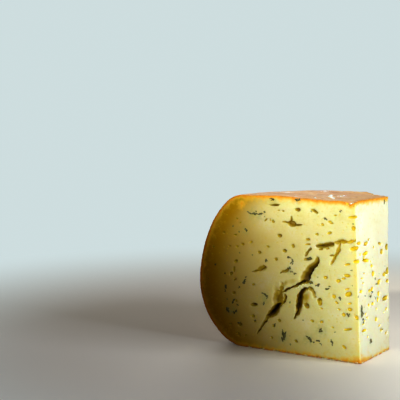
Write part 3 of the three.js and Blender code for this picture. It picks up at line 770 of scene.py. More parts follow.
def lumps_tree(name, sides, spread_on_faces=False):
    """Uneven lumps set on points, each turned and sized by the point's own "turn" and "size".

    With spread_on_faces, the points are strewn over the faces first, as thick as the attribute
    "strewn" says, and turned and sized at random.
    """
    kinds = 7
    inputs = {"Geometry": "Geometry", "Unevenness": 0.3, "Lump": 1.0, "Seed": 1, "Material": "Material"}
    if spread_on_faces:
        inputs |= {"Density": 1000.0, "Least Size": 0.0001, "Largest Size": 0.0004, "Flatness": 0.6}
    tree, given, result = tree_with_inputs(name, "GeometryNodeTree", inputs, {"Geometry": "Geometry"})
    shapes = lump_shapes(tree, given, kinds, sides)
    points, turn, size = (strewn_points if spread_on_faces else set_points)(tree, given)
    pick = place_node(
        tree, "FunctionNodeRandomValue", {4: 0, 5: kinds - 1, "Seed": given["Seed"]}, data_type="INT",
    ).outputs[2]
    placed = place_node(tree, "GeometryNodeInstanceOnPoints", {
        "Points": points, "Instance": shapes, "Pick Instance": True, "Instance Index": pick, "Rotation": turn,
        "Scale": size,
    })
    joined = place_node(tree, "GeometryNodeRealizeInstances", {0: placed.outputs[0]})
    finished = place_node(
        tree, "GeometryNodeSetMaterial", {"Geometry": joined.outputs[0], "Material": given["Material"]},
    )
    tree.links.new(finished.outputs[0], result["Geometry"])
    return tree


def run_tree(item, tree, **values):
    """Runs a geometry node tree on an object and keeps the result as its plain mesh."""
    step = item.modifiers.new(tree.name, "NODES")
    step.node_group = tree
    names = {socket.name: socket.identifier for socket in tree.interface.items_tree if socket.in_out == "INPUT"}
    for label, value in values.items():
        step[names[label.replace("_", " ")]] = value
    bake_modifiers(item)
    return item


def points_object(name, places, turns, sizes):
    """Bare points for lumps_tree, in millimetres, each with its turn and its half sizes."""
    item = new_object(name, places)
    for label, values in (("turn", np.asarray(turns, float)), ("size", np.asarray(sizes, float) * MM)):
        attribute = item.data.attributes.new(label, "FLOAT_VECTOR", "POINT")
        attribute.data.foreach_set("vector", values.ravel())
    return item


def marks(rows_by_face, depth_of, random, sunk=0.0, sunk_share=0.0):
    """Places, turns and half sizes for the oval marks of several faces.

    A mark's middle lies behind the cut by what sunk says, and by this share of its depth.
    """
    most_spin = 0.5
    places, turns, sizes = [], [], []
    for face, rows in rows_by_face:
        for along, up, length, height, tilt in rows:
            depth = depth_of(length, height)
            places.append(face.at([(along, sunk + sunk_share * depth, up)])[0])
            turns.append(face.turn(tilt, between(random, -most_spin, most_spin)))
            sizes.append((length / 2 * MARK_SPREAD, depth, height / 2 * MARK_SPREAD))
    return np.array(places), np.array(turns), np.array(sizes)


def apart(places, sizes):
    """Sorts marks into groups in which no two touch, as lists of their numbers."""
    gap = 1.35
    reach = sizes.max(1) * gap
    groups = []
    for i, place in enumerate(places):
        for group in groups:
            if all(np.linalg.norm(place - places[j]) > reach[i] + reach[j] for j in group):
                group.append(i)
                break
        else:
            groups.append([i])
    return groups


# ---- The piece of cheese -----------------------------------------------------------------------

def soften_edges(mesh, sharp_angle, passes, strength):
    """Rounds the knife's edges and the lips of the eyes a little, as soft paste is."""
    beside, foot = 0.6, 0.02
    points = places_of(mesh)
    edges = read(mesh.edges, "vertices", 2, int)
    shape = bmesh.new()
    shape.from_mesh(mesh)
    bends = np.array([edge.calc_face_angle(0.0) for edge in shape.edges])
    shape.free()
    weight = np.zeros(len(points))
    weight[edges[bends > sharp_angle].ravel()] = 1
    spread = weight.copy()
    np.maximum.at(spread, edges[:, 0], weight[edges[:, 1]] * beside)
    np.maximum.at(spread, edges[:, 1], weight[edges[:, 0]] * beside)
    spread[points[:, 2] < foot] = 0
    count = np.bincount(edges.ravel(), minlength=len(points))[:, None]
    for _ in range(passes):
        total = np.zeros_like(points)
        np.add.at(total, edges[:, 0], points[edges[:, 1]])
        np.add.at(total, edges[:, 1], points[edges[:, 0]])
        points = points + (strength * spread)[:, None] * (total / count - points)
    set_places(mesh, points)


def stain_at(points, rows_by_face):
    """How stained the paste is at each point, from 0 to 1."""
    total = np.zeros(len(points))
    for face, rows in rows_by_face:
        local = face.local(points)
        for along, up, reach in rows:
            far = ((local[:, 0] - along) ** 2 + local[:, 1] ** 2 + (local[:, 2] - up) ** 2) / reach ** 2
            total = np.maximum(total, np.exp(-far))
    return total


def rim_at(points, skin, front, right):
    """How strongly the rind colours the paste at each point: most along the foot at the near corner."""
    foot_height, foot_edge, corner_reach = 3, 0.3, 60
    rim = np.zeros(len(points))
    for i, point in enumerate(points):
        nearest, _, _, far = skin.find_nearest(Vector(point), RIM_SEARCH)
        if nearest is None:
            continue
        from_top = (HEIGHT - nearest.z) / RIM_SEARCH
        thick = RIM_ON_TOP + (RIM_ON_SIDE - RIM_ON_TOP) * min(1.0, max(0.0, from_top))
        if nearest.z < foot_height:
            foot = RIM_ON_FOOT * (1 + math.exp(-((front[i] ** 2 + right[i] ** 2) / corner_reach)))
            thick = foot + (RIM_ON_SIDE - foot) * max(0.0, nearest.z - foot_edge) / foot_height
        rim[i] = math.exp(-far / thick)
    return rim


def torn_at(points):
    """How near each point is to a crack's walls, and how near to its lips, from 0 to 1."""
    step, deepest, below_lips = 1.2, 8, 1.2
    around, spread, lip = 0.9, 0.4, 0.6
    torn, lips = np.zeros(len(points)), np.zeros(len(points))
    for face, rows in CRACKS:
        local = face.local(points)
        inside = np.clip(local[:, 1], 0, deepest)
        for _, _, route in rows:
            for along, up, width in spline(route, step)[0]:
                far = np.hypot(local[:, 0] - along, local[:, 2] - up)
                torn = np.maximum(torn, np.exp(-(far / (width / 2 + around + spread * inside)) ** 2))
                lips = np.maximum(lips, np.exp(-((far - width / 2) / lip) ** 2) * (inside < below_lips))
    return torn, lips


def share_past(values, start, stretch):
    """0 up to the start, 1 from a stretch past it, and even between."""
    return np.clip((values - start) / stretch, 0, 1)


def measure_paste(mesh, rind_slot):
    """Notes at each point how far it is from the knife's cuts, how near the rind, and its stains."""
    points = places_of(mesh)
    front, right, back = (np.maximum(face.local(points)[:, 1], 0) for face in (FRONT, RIGHT, BACK))
    skin = surface_of(mesh, [face for face in mesh.polygons if face.material_index == rind_slot])
    rim = rim_at(points, skin, front, right)
    x, y, z = points.T
    from_side = side_at(x, y, z) - np.hypot(x, y)
    # Deeper gold towards the side's rind: partly the paste's own ripening, partly painted shade.
    aged = np.clip(RIPE_AND_SHADE_GAIN * np.exp(-np.clip(from_side, 0, None) / RIPE_AND_SHADE_REACH) - RIPE_AND_SHADE_LOSS, 0, 1)
    pale = share_past(z, *PALE_TOP) * share_past(from_side, *PALE_INSIDE)
    torn, lips = torn_at(points)
    for label, values in {
        "from_cut": np.min([front, right, back], axis=0),
        # Painted highlight: the right cut is painted paler where the light falls strongly on it.
        "pale": np.exp(-right / RIGHT_HIGHLIGHT_DEPTH),
        # Painted glow of light through the near corner, on the front cut.
        "corner": np.exp(-(right / CORNER_GLOW_WIDTH) ** 2 - front / CORNER_GLOW_DEPTH),
        "rim": np.maximum(rim, RIM_STAIN * stain_at(points, [(FRONT, RIM_STAINS)])),
        "stain": stain_at(points, [(FRONT, HERB_STAINS), (RIGHT, RIGHT_STAINS)]),
        "aged": aged,
        "ripe": aged * (1 - 0.75 * pale),  # the painted shade stays off the top of the cut, away from the side, where the light falls
        "torn": torn,
        "strewn": lips,
    }.items():
        attribute = mesh.attributes.new(label, "FLOAT", "POINT")
        attribute.data.foreach_set("value", np.ascontiguousarray(values, np.float32))


def cut_hollows(item, settings, paste):
    """Cuts the eyes, the cracks and the chips in the rind's edges."""
    flatter, chip_depth = 0.8, 0.25
    random = random_from(EYE_SEED)
    eyes = marks([
        (FRONT, FRONT_EYES + FRONT_SPECKS + FRONT_FINE_EYES), (RIGHT, RIGHT_EYES + RIGHT_SPECKS + RIGHT_FINE_EYES),
        (BACK, BACK_EYES),
    ], lambda length, height: EYE_DEPTH * math.sqrt(length * height), random, sunk_share=EYE_SET_BACK)
    chips = marks([
        (FRONT, [(a, u, l, h * flatter, 0) for a, u, l, h in FRONT_CHIPS]),
        (RIGHT, [(a, u, l, h * flatter, 0) for a, u, l, h in RIGHT_CHIPS]),
        (BACK, [(a, u, l, h, 0) for a, u, l, h in BACK_CHIPS]),
    ], lambda length, height: chip_depth * length, random)
    places, turns, sizes = [np.concatenate(pair) for pair in zip(eyes, chips)]
    tree = lumps_tree("eye_bubbles", 3)
    for group in apart(places, sizes):
        bubbles = points_object("eyes", places[group], turns[group], sizes[group])
        run_tree(bubbles, tree, Unevenness=settings.eye_unevenness, Lump=1.1, Seed=5, Material=paste)
        combine(item, bubbles, "DIFFERENCE")
    for face, rows in CRACKS:
        for number, (slant, depth, route) in enumerate(rows):
            torn = crack(face, slant, depth, route, settings.crack_roughness, paste, CRACK_SEED + number)
            combine(item, torn, "DIFFERENCE")


def make_body(settings):
    grids = ((FRONT, 0.58), (RIGHT, 0.7), (BACK, 1.0))
    softened, sharp = math.radians(38), math.radians(52)
    rind, paste = rind_material(settings), paste_material(settings)
    item = rind_block(rind, settings.relief)
    for face, step in grids:
        combine(item, knife(face, step, settings.relief, paste), "DIFFERENCE")
    cut_hollows(item, settings, paste)
    mesh = item.data
    make_solid(mesh)
    soften_edges(mesh, softened, passes=3, strength=0.5)
    measure_paste(mesh, list(mesh.materials).index(rind))
    mesh.shade_smooth()
    mesh.set_sharp_from_angle(angle=sharp)
    return item


# ---- Colours and finishes ----------------------------------------------------------------------

def colour(red, green, blue):
    """A colour on the 0 to 255 scale of pictures, as the linear colour that shaders use."""
    return tuple(((part / 255 + 0.055) / 1.055) ** 2.4 if part > 10 else part / 3295 for part in (red, green, blue))


def mix(tree, factor, low, high):
    """A mix of two colours; returns its colour output."""
    made = place_node(tree, "ShaderNodeMix", {0: factor}, data_type="RGBA")
    for slot, value in ((6, low), (7, high)):
        connect(tree, made.inputs[slot], value if isinstance(value, bpy.types.NodeSocket) else (*value, 1))
    return made.outputs[2]


def layered(tree, shade, *layers):
    """Lays colours over a shade, one after another. Each layer is its mask, its strength and its colour."""
    for mask, strength, over in layers:
        shade = mix(tree, mask if strength == 1 else times(tree, mask, strength), shade, over)
    return shade


def rise(tree, value, low, high):
    """0 below the low level, 1 above the high one and a smooth rise between."""
    made = place_node(
        tree, "ShaderNodeMapRange", {"Value": value, "From Min": low, "From Max": high},
        interpolation_type="SMOOTHSTEP",
    )
    return made.outputs["Result"]


def noise_node(tree, where, **inputs):
    made = place_node(tree, "ShaderNodeTexNoise")
    feed(tree, made, Vector=where, **inputs)
    return made.outputs


def noise_map(tree, where, size, detail=2.0, roughness=0.5, warp=0.0):
    """Noise with lumps of about this size in millimetres, from 0 to 1."""
    return noise_node(
        tree, where, Scale=1 / (size * MM), Detail=detail, Roughness=roughness, Distortion=warp,
    )[0]


def number_at(tree, label):
    return place_node(tree, "ShaderNodeAttribute", attribute_name=label).outputs["Fac"]


def bare_tree(owner):
    """The emptied node tree of a material or a world."""
    owner.use_nodes = True
    owner.node_tree.nodes.clear()
    return owner.node_tree


def new_material(name):
    material = bpy.data.materials.new(name)
    tree = bare_tree(material)
    shader = place_node(tree, "ShaderNodeBsdfPrincipled")
    output = place_node(tree, "ShaderNodeOutputMaterial", {"Surface": shader.outputs[0]})
    output.is_active_output = True
    where = place_node(tree, "ShaderNodeTexCoord").outputs["Object"]
    return material, tree, shader, where


def feed(tree, node, **sockets):
    """Links or sets a node's inputs; an underscore stands for a space."""
    for label, value in sockets.items():
        connect(tree, node.inputs[label.replace("_", " ")], value)


def bump(tree, height, distance, strength=1.0):
    """Bump of this height, in millimetres."""
    made = place_node(tree, "ShaderNodeBump", {"Height": height, "Distance": distance * MM, "Strength": strength})
    return made.outputs[0]


def group_once(name, inputs, outputs, build):
    """A shader node group, built the first time that a material asks for it."""
    if name not in bpy.data.node_groups:
        build(*tree_with_inputs(name, "ShaderNodeTree", inputs, outputs))
    return bpy.data.node_groups[name]


def use_group(tree, group, **values):
    made = place_node(tree, "ShaderNodeGroup", node_tree=group)
    feed(tree, made, **values)
    return made.outputs


def mottle_group():
    """Slow and fine changes of tone, from a darker to a lighter version of a base colour."""
    inputs = {
        "Vector": "Vector", "Base": (0.8, 0.7, 0.4, 1), "Dark": (0.6, 0.5, 0.2, 1), "Light": (0.9, 0.85, 0.6, 1),
        "Patch Scale": 100.0, "Grain Scale": 1000.0, "Amount": 0.5,
    }

    def build(tree, given, result):
        patch = noise_node(tree, given["Vector"], Scale=given["Patch Scale"], Detail=3.0, Distortion=0.4)[0]
        grain = noise_node(tree, given["Vector"], Scale=given["Grain Scale"], Detail=3.0)[0]
        tone = plus(tree, times(tree, patch, 0.65), times(tree, grain, 0.35))
        shade = layered(
            tree, given["Base"],
            (rise(tree, tone, 0.5, 0.28), given["Amount"], given["Dark"]),
            (rise(tree, tone, 0.5, 0.7), given["Amount"], given["Light"]),
        )
        tree.links.new(shade, result["Colour"])
        tree.links.new(tone, result["Tone"])

    return group_once("mottle", inputs, {"Colour": "Color", "Tone": "Float"}, build)


def curd_grain_group():
    """The height of fine curd grain with small pits, for bump."""
    inputs = {"Vector": "Vector", "Grain Scale": 1200.0, "Pit Scale": 500.0, "Pits": 0.5}

    def build(tree, given, result):
        grain = noise_node(tree, given["Vector"], Scale=given["Grain Scale"], Detail=4.0, Roughness=0.6)[0]
        cells = place_node(
            tree, "ShaderNodeTexVoronoi", {"Vector": given["Vector"], "Scale": given["Pit Scale"]},
        ).outputs
        chosen = place_node(tree, "ShaderNodeSeparateColor", {0: cells["Color"]}).outputs[0]
        hole = times(tree, rise(tree, cells["Distance"], 0.3, 0.1), rise(tree, chosen, 0.55, 0.6))
        tree.links.new(maths(tree, "SUBTRACT", grain, times(tree, hole, given["Pits"])), result["Height"])
        tree.links.new(hole, result["Pit"])

    return group_once("curd_grain", inputs, {"Height": "Float", "Pit": "Float"}, build)


def herb_dust_group():
    """A mask of tiny uneven scraps of herb in the paste."""
    inputs = {"Vector": "Vector", "Scale": 300.0, "Size": 0.2, "Share": 0.3}

    def build(tree, given, result):
        wobble = noise_node(tree, given["Vector"], Scale=1800.0, Detail=1.0)["Color"]
        push = place_node(tree, "ShaderNodeVectorMath", {0: wobble, "Scale": 0.0009}, operation="SCALE")
        where = place_node(
            tree, "ShaderNodeVectorMath", {0: given["Vector"], 1: push.outputs[0]}, operation="ADD",
        )
        cells = place_node(
            tree, "ShaderNodeTexVoronoi", {"Vector": where.outputs[0], "Scale": given["Scale"]},
        ).outputs
        parts = place_node(tree, "ShaderNodeSeparateColor", {0: cells["Color"]}).outputs
        reach = times(tree, given["Size"], plus(tree, parts[1], 0.35))
        scrap = maths(tree, "LESS_THAN", cells["Distance"], reach)
        chosen = maths(tree, "LESS_THAN", parts[0], given["Share"])
        tree.links.new(times(tree, scrap, chosen), result["Mask"])

    return group_once("herb_dust", inputs, {"Mask": "Float"}, build)


def mottled(tree, where, base, dark, light, patch, grain, amount):
    """The mottle group with its colours and the scales of its patches and grain."""
    return use_group(
        tree, mottle_group(), Vector=where, Base=(*base, 1), Dark=(*colour(*dark), 1), Light=(*colour(*light), 1),
        Patch_Scale=patch, Grain_Scale=grain, Amount=amount,
    )


def grained(tree, where, grain, pit, pits):
    return use_group(tree, curd_grain_group(), Vector=where, Grain_Scale=grain, Pit_Scale=pit, Pits=pits)


def rough_with(tree, tone, least):
    """Roughness that rises with the tone."""
    gain = 0.3
    return plus(tree, times(tree, tone, gain), least)


def paste_material(settings):
    """Pale yellow, waxy paste: orange under the rind, with painted shade that deepens it to yellow, then brown, in
    its hollows.
    """
    material, tree, shader, where = new_material("cheese_paste")
    base = mottled(
        tree, where, settings.paste_colour, dark=(229, 217, 138), light=(247, 245, 214), patch=95.0, grain=900.0,
        amount=0.55,
    )
    grain = grained(tree, where, 1500.0, 430.0, 0.7)
    dust = use_group(tree, herb_dust_group(), Vector=where, Scale=260.0, Size=0.16, Share=0.16)
    cloud = rise(tree, noise_map(tree, where, 1.6, 3.0), 0.3, 0.65)
    ragged = maths(tree, "SUBTRACT", noise_map(tree, where, 2.6, 3.0), 0.5)
    rim = plus(tree, number_at(tree, "rim"), times(tree, ragged, 0.65))
    shade = layered(
        tree, base["Colour"],
        # Deeper gold towards the side's rind: partly the paste's own ripening, partly painted shade.
        (number_at(tree, "ripe"), 1, colour(196, 150, 0)),
        # Painted glow of light through the near corner.
        (number_at(tree, "corner"), 0.5, colour(246, 220, 84)),
        # Painted highlight on the right cut.
        (number_at(tree, "pale"), 0.45, colour(248, 246, 224)),
        # Painted shade in the curd's small pits, in the eyes' painted yellow.
        (grain["Pit"], 0.35, settings.eye_glow_colour),
        (times(tree, number_at(tree, "stain"), cloud), 0.6, colour(172, 178, 118)),
        (dust["Mask"], 0.8, colour(128, 132, 78)),
        # Orange under the rind, with a ragged inner edge.
        (rise(tree, rim, 0.04, 0.42), 0.75, colour(248, 202, 70)),
        (rise(tree, rim, 0.25, 0.75), 1, settings.rim_colour),
        (rise(tree, rim, 0.8, 1.05), 1, colour(196, 104, 34)),
    )
    # Painted light and shade in the hollows: light that has gone deep into them comes back yellow, then brown, and
    # browner towards the side's rind.
    depth = plus(tree, number_at(tree, "from_cut"), times(tree, ragged, 0.6))
    aged = number_at(tree, "aged")
    side_shade = rise(tree, aged, 0.06, 0.36)
    hollow_shade = layered(
        tree, shade,
        (rise(tree, depth, 0.0, 0.75), 0.94, mix(tree, side_shade, settings.eye_glow_colour, colour(198, 172, 34))),
        (rise(tree, depth, 0.6, 2.1), 1, mix(tree, side_shade, colour(216, 186, 24), colour(146, 114, 16))),
    )
    # Painted shade in the cracks: a torn crack lets less light back, so it is olive on its lips and nearly black
    # deep down.
    side_shade = rise(tree, aged, 0.07, 0.2)
    cleft_shade = layered(
        tree, shade,
        (rise(tree, depth, 0.1, 0.8), 0.94, mix(tree, side_shade, colour(226, 196, 44), colour(180, 152, 34))),
        (rise(tree, depth, 0.9, 2.4), 1, mix(tree, side_shade, colour(204, 160, 18), colour(106, 80, 10))),
        (rise(tree, depth, 2.4, 4.2), 1, colour(32, 21, 3)),
    )
    shade = mix(tree, rise(tree, number_at(tree, "torn"), 0.2, 0.5), hollow_shade, cleft_shade)
    streak_place = place_node(tree, "ShaderNodeMapping", {"Vector": where, "Scale": (0.12, 0.12, 1.0)}).outputs[0]
    height = plus(tree, grain["Height"], times(tree, noise_map(tree, streak_place, 0.7, 3.0), 0.5))
    feed(
        tree, shader, Base_Color=shade, Roughness=rough_with(tree, base["Tone"], 0.33),
        Normal=bump(tree, height, 0.16, 0.8), Subsurface_Weight=0.4, Subsurface_Radius=(1.0, 0.68, 0.18),
        Subsurface_Scale=0.005, IOR=1.44, Specular_IOR_Level=0.45,
    )
    return material


def rind_material(settings):
    """A dusty orange-brown rind, leathery and floury, bright orange along the knife's cuts."""
    material, tree, shader, where = new_material("cheese_rind")
    base = mottled(
        tree, where, settings.rind_colour, dark=(196, 122, 66), light=(248, 206, 142), patch=60.0, grain=380.0,
        amount=1.0,
    )
    grain = grained(tree, where, 900.0, 260.0, 0.9)
    edge = number_at(tree, "from_cut")
    flour = rise(tree, noise_map(tree, where, 5.0, 5.0, 0.6, 0.15), 0.5, 0.68)
    broken = rise(tree, noise_map(tree, where, 1.8, 3.0), 0.3, 0.55)
    shade = layered(
        tree, base["Colour"],
        (rise(tree, edge, 22.0, 1.0), 0.75, colour(250, 194, 118)),
        (flour, 0.55, colour(250, 226, 192)),
        (rise(tree, noise_map(tree, where, 0.9, 2.0), 0.66, 0.76), 0.5, colour(120, 70, 40)),
        # Painted shade in the rind's pits.
        (grain["Pit"], 0.5, colour(140, 84, 48)),
        (times(tree, rise(tree, edge, 4.0, 0.2), broken), 0.9, settings.rim_colour),
    )
    leather = place_node(
        tree, "ShaderNodeTexVoronoi", {"Vector": where, "Scale": 620.0, "Randomness": 0.9},
        feature="DISTANCE_TO_EDGE",
    ).outputs["Distance"]
    creases = rise(tree, leather, 0.0, 0.16)
    height = plus(tree, times(tree, creases, 0.6), times(tree, grain["Height"], 0.9))
    feed(
        tree, shader, Base_Color=shade, Roughness=plus(tree, times(tree, flour, 0.22), 0.6),
        Normal=bump(tree, height, 0.22, 0.8), Subsurface_Weight=0.12, Subsurface_Radius=(1.0, 0.5, 0.2),
        Subsurface_Scale=0.0015, Specular_IOR_Level=0.35,
    )
    return material


def herb_material(settings):
    """Dried, chopped herb soaked in the paste: dark grey-green, paler where it shows its back."""
    material, tree, shader, where = new_material("chopped_herb")
    base = mottled(
        tree, where, settings.herb_colour, dark=(66, 64, 36), light=(158, 154, 112), patch=600.0, grain=2600.0,
        amount=0.9,
    )
    grain = grained(tree, where, 3200.0, 1400.0, 0.3)
    veins = rise(tree, noise_map(tree, where, 0.5, 2.0, 0.5, 1.5), 0.58, 0.7)
    shade = layered(tree, base["Colour"], (veins, 0.4, colour(112, 112, 84)))
    feed(
        tree, shader, Base_Color=shade, Roughness=rough_with(tree, base["Tone"], 0.45),
        Normal=bump(tree, grain["Height"], 0.12, 0.7), Specular_IOR_Level=0.22,
    )
    return material


def mould_material(settings):
    """White, downy mould on the rind, greyer where it is thin."""
    material, tree, shader, where = new_material("white_mould")
    base = mottled(
        tree, where, settings.mould_colour, dark=(196, 190, 172), light=(250, 250, 244), patch=700.0, grain=3200.0,
        amount=0.8,
    )
    down = noise_map(tree, where, 0.25, 4.0, 0.7)
    feed(
        tree, shader, Base_Color=base["Colour"], Roughness=0.95, Normal=bump(tree, down, 0.15),
        Sheen_Weight=0.3, Subsurface_Weight=0.2, Subsurface_Scale=0.0008, Specular_IOR_Level=0.2,
    )
    return material


def crumb_material(settings):
    """Torn crumbs of paste, some of them tinted by the rind."""
    material, tree, shader, where = new_material("paste_crumb")
    base = mottled(
        tree, where, settings.paste_colour, dark=(222, 196, 104), light=(249, 244, 208), patch=260.0, grain=1800.0,
        amount=0.8,
    )
    grain = grained(tree, where, 3000.0, 1500.0, 0.4)
    height = place_node(tree, "ShaderNodeSeparateXYZ", {0: where}).outputs[2]
    patch = rise(tree, noise_map(tree, where, 1.6, 2.0), 0.4, 0.55)
    by_rind = times(tree, rise(tree, height, 0.004, 0.001), patch)
    feed(
        tree, shader, Base_Color=layered(tree, base["Colour"], (by_rind, 1, colour(220, 136, 54))),
        Roughness=rough_with(tree, base["Tone"], 0.45), Normal=bump(tree, grain["Height"], 0.1, 0.8),
        Subsurface_Weight=0.3, Subsurface_Radius=(1.0, 0.7, 0.25), Subsurface_Scale=0.001,
    )
    return material


# ---- Herbs, mould and crumbs -------------------------------------------------------------------

def turned(along, across, turn):
    """A place on a plane, turned round its origin."""
    return (along * math.cos(turn) - across * math.sin(turn), along * math.sin(turn) + across * math.cos(turn))


def scraps_of(flake, random):
    """A flake of herb as a few overlapping scraps, as the knife tore it."""
    off_middle, least_length, least_height, most_tilt = 0.42, 0.45, 0.35, 40
    lengths, heights = (0.3, 0.7), (0.4, 0.9)
    along, up, length, height, tilt = flake
    scraps = []
    for _ in range(2 + round(length + height)):
        off = between(random, -off_middle, off_middle) * length
        over = between(random, -off_middle, off_middle) * height
        sideways, upwards = turned(off, over, math.radians(tilt))
        scraps.append((
            along + sideways, up + upwards, max(least_length, length * between(random, *lengths)),
            max(least_height, height * between(random, *heights)), tilt + between(random, -most_tilt, most_tilt),
        ))
    return scraps


def make_herbs(settings):
    """Scraps of chopped herb, mostly sunk in the cut faces."""
    random = random_from(HERB_SEED)
    flakes = (
        (FRONT, FRONT_FLAKES + FRONT_FINE_FLAKES), (RIGHT, RIGHT_FLAKES + RIGHT_FINE_FLAKES), (BACK, BACK_FLAKES),
    )
    scraps = [(face, [scrap for flake in rows for scrap in scraps_of(flake, random)]) for face, rows in flakes]
    places = marks(scraps, lambda length, height: min(0.42, 0.3 + 0.1 * length), random, sunk=FLAKE_SUNK)
    return run_tree(
        points_object("herb_flakes", *places), lumps_tree("herb_scraps", 3), Unevenness=1.1, Lump=1.7, Seed=9,
        Material=herb_material(settings),
    )


def make_mould(settings):
    """Tufts of white mould on the top of the rind, in patches."""
    above, ray, most_lean, full_turn = 10, 40, 0.4, 6.28
    tuft_sizes, longer, lifts, edge = (0.14, 0.44), 1.3, (0.6, 1.3), 1.3
    random = random_from(MOULD_SEED)
    places, turns, sizes = [], [], []
    body = bpy.data.objects["cheese_body"].data
    skin = surface_of(body, body.polygons)
    for x, y, length, width, turn, tufts, lift in MOULD_PATCHES:
        for _ in range(tufts):
            reach, way = math.sqrt(next(random)), 2 * math.pi * next(random)
            sideways, back = turned(
                reach * math.cos(way) * length / 2, reach * math.sin(way) * width / 2, math.radians(turn),
            )
            hit, _, _, _ = skin.ray_cast(Vector((x + sideways, y + back, HEIGHT + above)), Vector((0, 0, -1)), ray)
            if hit is None:
                continue
            size = between(random, *tuft_sizes) * (edge - reach)
            lean = [between(random, -most_lean, most_lean) for _ in range(2)]
            places.append(hit)
            turns.append((*lean, between(random, 0, full_turn)))
            sizes.append((size * longer, size, size * lift * between(random, *lifts)))
    return run_tree(
        points_object("rind_mould", places, turns, sizes), lumps_tree("mould_tufts", 3), Unevenness=1.3, Lump=2.4,
        Seed=13, Material=mould_material(settings),
    )


def make_crumbs(settings):
    """Torn curd on the lips of the cracks, and crumbs along the foot of the cut faces."""
    stretches = ((FRONT, -66, -1, 120), (RIGHT, 1, 34, 50), (BACK, 2, 44, 50))
    crumb_sizes, shrinks, lump_tilts, depth_share = (0.3, 1.2), (0.5, 1), (0, 60), 0.42
    material = crumb_material(settings)
    torn = put_in_scene("torn_curd", bpy.data.objects["cheese_body"].data.copy())
    run_tree(
        torn, lumps_tree("curd_shreds", 2, spread_on_faces=True), Density=settings.curd_density, Unevenness=1.1,
        Lump=1.8, Seed=4, Least_Size=0.00010, Largest_Size=0.00034, Flatness=0.55, Material=material,
    )
    random = random_from(CRUMB_SEED)
    rows = []
    for face, low, high, count in stretches:
        for _ in range(count):
            size = between(random, *crumb_sizes) * between(random, *shrinks)
            rows.append((face, [(between(random, low, high), size * 0.45, size * 1.5, size * 0.8, 0)]))
    rows += [(FRONT, [(*lump, between(random, *lump_tilts))]) for lump in BRIDGE_LUMPS]
    places = marks(rows, lambda length, height: depth_share * math.sqrt(length * height), random, sunk_share=0.3)
    foot = points_object("foot_crumbs", *places)
    run_tree(foot, lumps_tree("foot_crumbs", 2), Unevenness=0.9, Lump=1.5, Seed=6, Material=material)
    item = new_object("paste_crumbs", [])
    joined = bmesh.new()
    for part in (torn, foot):
        joined.from_mesh(part.data)
        remove(part)
    joined.to_mesh(item.data)
    joined.free()
    item.data.materials.append(material)
    return item


def finish_piece(item, smooth=True):
    """Finishes a piece: it moves with the body and stands in for the solid, which is hidden."""
    for label in ("turn", "size", "strewn"):
        if label in item.data.attributes:
            item.data.attributes.remove(item.data.attributes[label])
    if smooth:
        item.data.shade_smooth()
    if not item.data.polygons:
        raise RuntimeError(f"{item.name} has no faces")
    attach(item, BODY)
    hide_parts(NODE)
    print(item.name, "triangles", sum(len(face.vertices) - 2 for face in item.data.polygons))


# ---- The stage ---------------------------------------------------------------------------------

UPPER_SHARE = 0.95  # power of the upper beam, against the front one's
CAMERA_PLACE = (190.4, -447.8, 132.1)  # in the frame of the near corner, in millimetres
CAMERA_FORWARD = (-0.5381, 0.8429, 0)
CAMERA_PITCH = 5.84  # degrees down
LENS = 88.0
SENSOR = 36.0


def make_camera():
    camera = bpy.data.cameras.new("camera")
    camera.lens = LENS
    camera.sensor_width = SENSOR
    camera.clip_start = 0.01
    item = put_in_scene("camera", camera)
    pitch = math.radians(CAMERA_PITCH)
    forward = Vector(CAMERA_FORWARD).normalized() * math.cos(pitch)
    forward.z = -math.sin(pitch)
    item.rotation_euler = forward.to_track_quat("-Z", "Y").to_euler()
    item.location = Vector((np.array(CAMERA_PLACE) + CORNER) * MM)
    bpy.context.scene.camera = item


def make_floor(settings):
    """A wide, pale floor that fades into the backdrop."""
    reach, turns, fade_from, fade_to = 6.0, 96, 0.13, 0.36
    angles = [2 * math.pi * i / turns for i in range(turns)]
    mesh = bpy.data.meshes.new("floor")
    mesh.from_pydata(
        [(reach * math.cos(angle), reach * math.sin(angle), 0) for angle in angles], [], [tuple(range(turns))],
    )
    item = put_in_scene("floor", mesh)
    material = bpy.data.materials.new("pale_floor")
    tree = bare_tree(material)
    where = place_node(tree, "ShaderNodeTexCoord").outputs["Object"]
    far = place_node(tree, "ShaderNodeVectorMath", {0: where}, operation="LENGTH").outputs["Value"]
    seen = place_node(tree, "ShaderNodeLightPath").outputs["Is Camera Ray"]
    fade = times(tree, rise(tree, far, fade_from, fade_to), seen)
    cloth = plus(tree, times(tree, noise_map(tree, where, 3.0, 4.0), 0.1), 0.6)
    # The light the floor throws back is dimmer and warmer than the floor looks.
    matt = place_node(tree, "ShaderNodeBsdfPrincipled", {
        "Base Color": mix(tree, seen, settings.bounce_colour, settings.floor_colour), "Roughness": cloth,
        "Specular IOR Level": 0.2,
    })
    glow = place_node(tree, "ShaderNodeEmission", {"Color": (*settings.backdrop_colour, 1), "Strength": 1.0})
    both = place_node(tree, "ShaderNodeMixShader", {0: fade, 1: matt.outputs[0], 2: glow.outputs[0]})
    place_node(tree, "ShaderNodeOutputMaterial", {"Surface": both.outputs[0]})
    mesh.materials.append(material)


def make_world(settings):
    """The backdrop's colour as seen, and a weaker light from all round."""
    world = bpy.data.worlds.new("studio")
    tree = bare_tree(world)
    seen = place_node(tree, "ShaderNodeLightPath").outputs["Is Camera Ray"]
    backdrop, fill = [
        place_node(tree, "ShaderNodeBackground", {"Color": (*shade, 1), "Strength": strength}).outputs[0]
        for shade, strength in ((settings.backdrop_colour, 1.0), (settings.fill_colour, settings.fill_light))
    ]
    both = place_node(tree, "ShaderNodeMixShader", {0: seen, 1: fill, 2: backdrop})
    place_node(tree, "ShaderNodeOutputWorld", {"Surface": both.outputs[0]})
    bpy.context.scene.world = world


